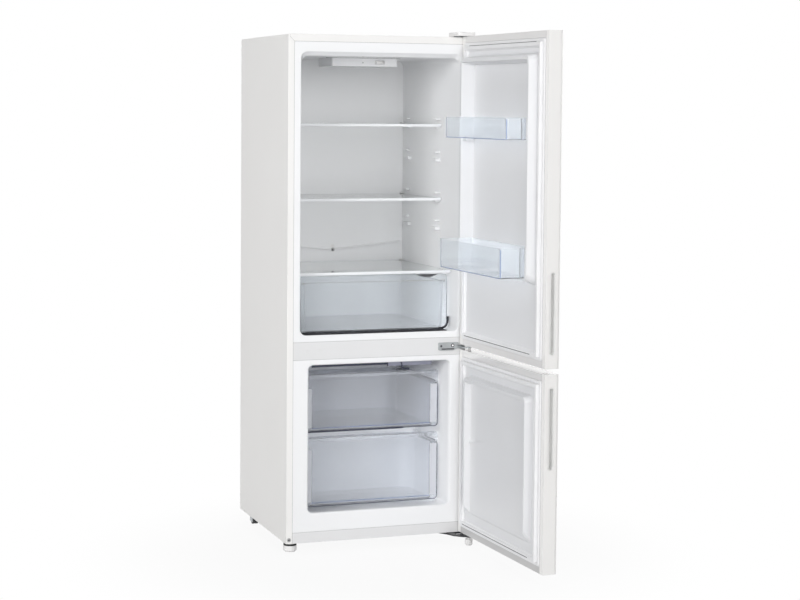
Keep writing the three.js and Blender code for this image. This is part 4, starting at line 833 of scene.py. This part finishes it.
def foot_details():
    """Rubber washer and six-sided nut on the left foot's stud."""
    height = 4.4
    hole, radius = 15.2, 18.4
    washer = Shape()
    washer.lathe([(hole, 0), (radius, 0), (radius, height), (hole, height), (hole, 0)],
                 (*LEFT_FOOT, 17.7), UP, 36)
    washer.finish("left_foot_washer", "left_levelling_foot", "black_rubber")
    nut = Shape()
    bored_disc(nut, (*LEFT_FOOT, 22.3), 4.6, 16.6, height, 1.2, 1.0, 6)
    nut.finish("left_foot_nut", "left_levelling_foot", "grey_plastic")


hinge_details()
foot_details()

# ---------------------------------------------------------------- machine bay

COMPRESSOR = (80.0, 402.0, 47.6)
SHELL_PROFILE = [
    (0, 1.0), (44, 1.0), (54, 5), (60, 12), (64.5, 20), (66, 30), (66, 68), (70, 70), (70.6, 72), (70.6, 75),
    (70, 77), (66, 79), (66, 112), (65, 120), (62.5, 128), (57.5, 134), (50, 139), (38, 143), (20, 145.4),
    (0, 146),
]


def compressor_details():
    """Welded shell on its foot plate, with two pipe stubs, and the bolts of its rubber mounts."""
    x, y, base = COMPRESSOR
    stub_z = base + 90
    shell = Shape()
    shell.lathe(SHELL_PROFILE, COMPRESSOR, UP, 64)
    shell.box(about(x, 82.0), about(y, 60.0), (base, base + 2.5), 1.1)
    for centre, axis, end in (((x, y + 8, stub_z), RIGHT, 76), ((x - 20, y, stub_z), BACKWARD, 74)):
        shell.lathe([(4.2, 60), (4.2, end), (2.6, end), (2.6, 60)], centre, axis, 16)
    shell.finish("compressor_shell", "cabinet", "black_steel", replaces=("compressor",))
    bolts = Shape()
    bolt = [(0, 7), (4, 7), (4.6, 6.2), (4.6, 3), (7, 3), (7, 2.5), (0, 2.5)]
    for dx in (-68, 68):
        for dy in (-48, 48):
            bolts.lathe(bolt, (x + dx, y + dy, base), UP, 18)
    bolts.finish("compressor_bolts", "cabinet", "zinc_steel")


compressor_details()

# ---------------------------------------------------------------- camera, lights and floor

CAMERA = place(-1741.6, -4986.4, 1251.0)
YAW = math.radians(19.815)
PITCH = math.radians(3.495)
ROLL = math.radians(0.476)
SENSOR_WIDTH = 36.0
LENS = 84.68
SHIFT_UP = -0.0975
VIEW_DEPTH = 50.0
WHITE = (1.0, 1.0, 1.0, 1.0)
SKY = (0.98, 0.99, 1.0, 1.0)
SKY_STRENGTH = 0.12
AIM = (0, 0, 950)
LIGHTS = {
    # place, point aimed at, side of the square in metres, power in watts
    "key": ((-900, -7900, 2100), AIM, 3.4, 188),
    "left": ((-6500, -4300, 2400), AIM, 3.4, 320),
    "right": ((2330, -7250, 3400), AIM, 3.0, 42),
    "far_right": ((6800, 900, 2400), AIM, 3.4, 130),
    "overhead": ((-300, -700, 6500), AIM, 3.4, 60),
    "rear": ((1700, 2600, 2200), (0, 200, 800), 1.6, 34),
}
FLOOR_HALF = 12.0
FLOOR_DARK = (0.70, 0.70, 0.70)
FLOOR_LIGHT = (0.72, 0.72, 0.72)
FADE_FROM = 0.35  # metres from the middle
FADE_TO = 0.95
FADE_LEAST = 0.92


def add_camera():
    """Camera at the photograph's place and angle, with the shift that gives its framing."""
    forward = Vector((math.sin(YAW) * math.cos(PITCH), math.cos(YAW) * math.cos(PITCH), -math.sin(PITCH)))
    level = Vector((math.cos(YAW), -math.sin(YAW), 0.0))
    upright = level.cross(forward)
    right = math.cos(ROLL) * level + math.sin(ROLL) * upright
    up = -math.sin(ROLL) * level + math.cos(ROLL) * upright
    data = bpy.data.cameras.new("camera")
    data.sensor_fit = "HORIZONTAL"
    data.sensor_width = SENSOR_WIDTH
    data.lens = LENS
    data.shift_y = SHIFT_UP
    data.clip_end = VIEW_DEPTH
    camera = bpy.data.objects.new("camera", data)
    bpy.context.scene.collection.objects.link(camera)
    turn = Matrix((right, up, -forward)).transposed()
    camera.matrix_world = Matrix.Translation(CAMERA) @ turn.to_4x4()
    bpy.context.scene.camera = camera


def add_light(name, spot, target, side, power):
    data = bpy.data.lights.new(name, "AREA")
    data.shape = "RECTANGLE"
    data.size = side
    data.size_y = side
    data.energy = power
    light = bpy.data.objects.new(name, data)
    bpy.context.scene.collection.objects.link(light)
    light.location = place(*spot)
    light.rotation_euler = (place(*target) - light.location).to_track_quat("-Z", "Y").to_euler()


def white_rays(nodes, links):
    """1 for the rays that look for the background: from the camera, a glossy surface or clear material."""
    path = nodes.new("ShaderNodeLightPath")
    total = path.outputs["Is Camera Ray"]
    for kind in ("Is Glossy Ray", "Is Transmission Ray"):
        larger = nodes.new("ShaderNodeMath")
        larger.operation = "MAXIMUM"
        links.new(total, larger.inputs[0])
        links.new(path.outputs[kind], larger.inputs[1])
        total = larger.outputs["Value"]
    return total


def add_world():
    world = bpy.data.worlds.new("studio")
    bpy.context.scene.world = world
    world.use_nodes = True
    nodes, links = world.node_tree.nodes, world.node_tree.links
    nodes.clear()
    out = nodes.new("ShaderNodeOutputWorld")
    lit = nodes.new("ShaderNodeBackground")
    lit.inputs["Color"].default_value = SKY
    lit.inputs["Strength"].default_value = SKY_STRENGTH
    seen = nodes.new("ShaderNodeBackground")
    seen.inputs["Color"].default_value = WHITE
    seen.inputs["Strength"].default_value = 1.0
    mix = nodes.new("ShaderNodeMixShader")
    links.new(white_rays(nodes, links), mix.inputs["Fac"])
    links.new(lit.outputs["Background"], mix.inputs[1])
    links.new(seen.outputs["Background"], mix.inputs[2])
    links.new(mix.outputs["Shader"], out.inputs["Surface"])


def white_share(nodes, links):
    """How white the floor is: for the background's rays alone, and wholly so away from the object."""
    coords = nodes.new("ShaderNodeTexCoord")
    reach = nodes.new("ShaderNodeVectorMath")
    reach.operation = "LENGTH"
    links.new(coords.outputs["Object"], reach.inputs[0])
    fade = nodes.new("ShaderNodeMapRange")
    fade.interpolation_type = "SMOOTHSTEP"
    fade.inputs["From Min"].default_value = FADE_FROM
    fade.inputs["From Max"].default_value = FADE_TO
    fade.inputs["To Min"].default_value = FADE_LEAST
    fade.inputs["To Max"].default_value = 1.0
    links.new(reach.outputs["Value"], fade.inputs["Value"])
    share = nodes.new("ShaderNodeMath")
    share.operation = "MULTIPLY"
    links.new(fade.outputs["Result"], share.inputs[0])
    links.new(white_rays(nodes, links), share.inputs[1])
    return share.outputs["Value"]


def add_floor():
    """Pale floor that goes over into the white of the background away from the object."""
    mat, nodes, links = new_material("floor_pale")
    out = nodes.new("ShaderNodeOutputMaterial")
    matt = nodes.new("ShaderNodeBsdfDiffuse")
    links.new(two_tones(nodes, links, FLOOR_DARK, FLOOR_LIGHT, 0.8), matt.inputs["Color"])
    white = nodes.new("ShaderNodeEmission")
    white.inputs["Color"].default_value = WHITE
    white.inputs["Strength"].default_value = 1.0
    mix = nodes.new("ShaderNodeMixShader")
    links.new(white_share(nodes, links), mix.inputs["Fac"])
    links.new(matt.outputs["BSDF"], mix.inputs[1])
    links.new(white.outputs["Emission"], mix.inputs[2])
    links.new(mix.outputs["Shader"], out.inputs["Surface"])
    mesh = bpy.data.meshes.new("floor")
    corners = [(sx * FLOOR_HALF, sy * FLOOR_HALF, -0.0005) for sx, sy in ((-1, -1), (1, -1), (1, 1), (-1, 1))]
    mesh.from_pydata(corners, [], [(0, 1, 2, 3)])
    mesh.materials.append(mat)
    floor = bpy.data.objects.new("floor", mesh)
    bpy.context.scene.collection.objects.link(floor)


add_camera()
add_world()
add_floor()
for light_name, light_values in LIGHTS.items():
    add_light(light_name, *light_values)
bpy.context.scene.view_settings.view_transform = "Standard"
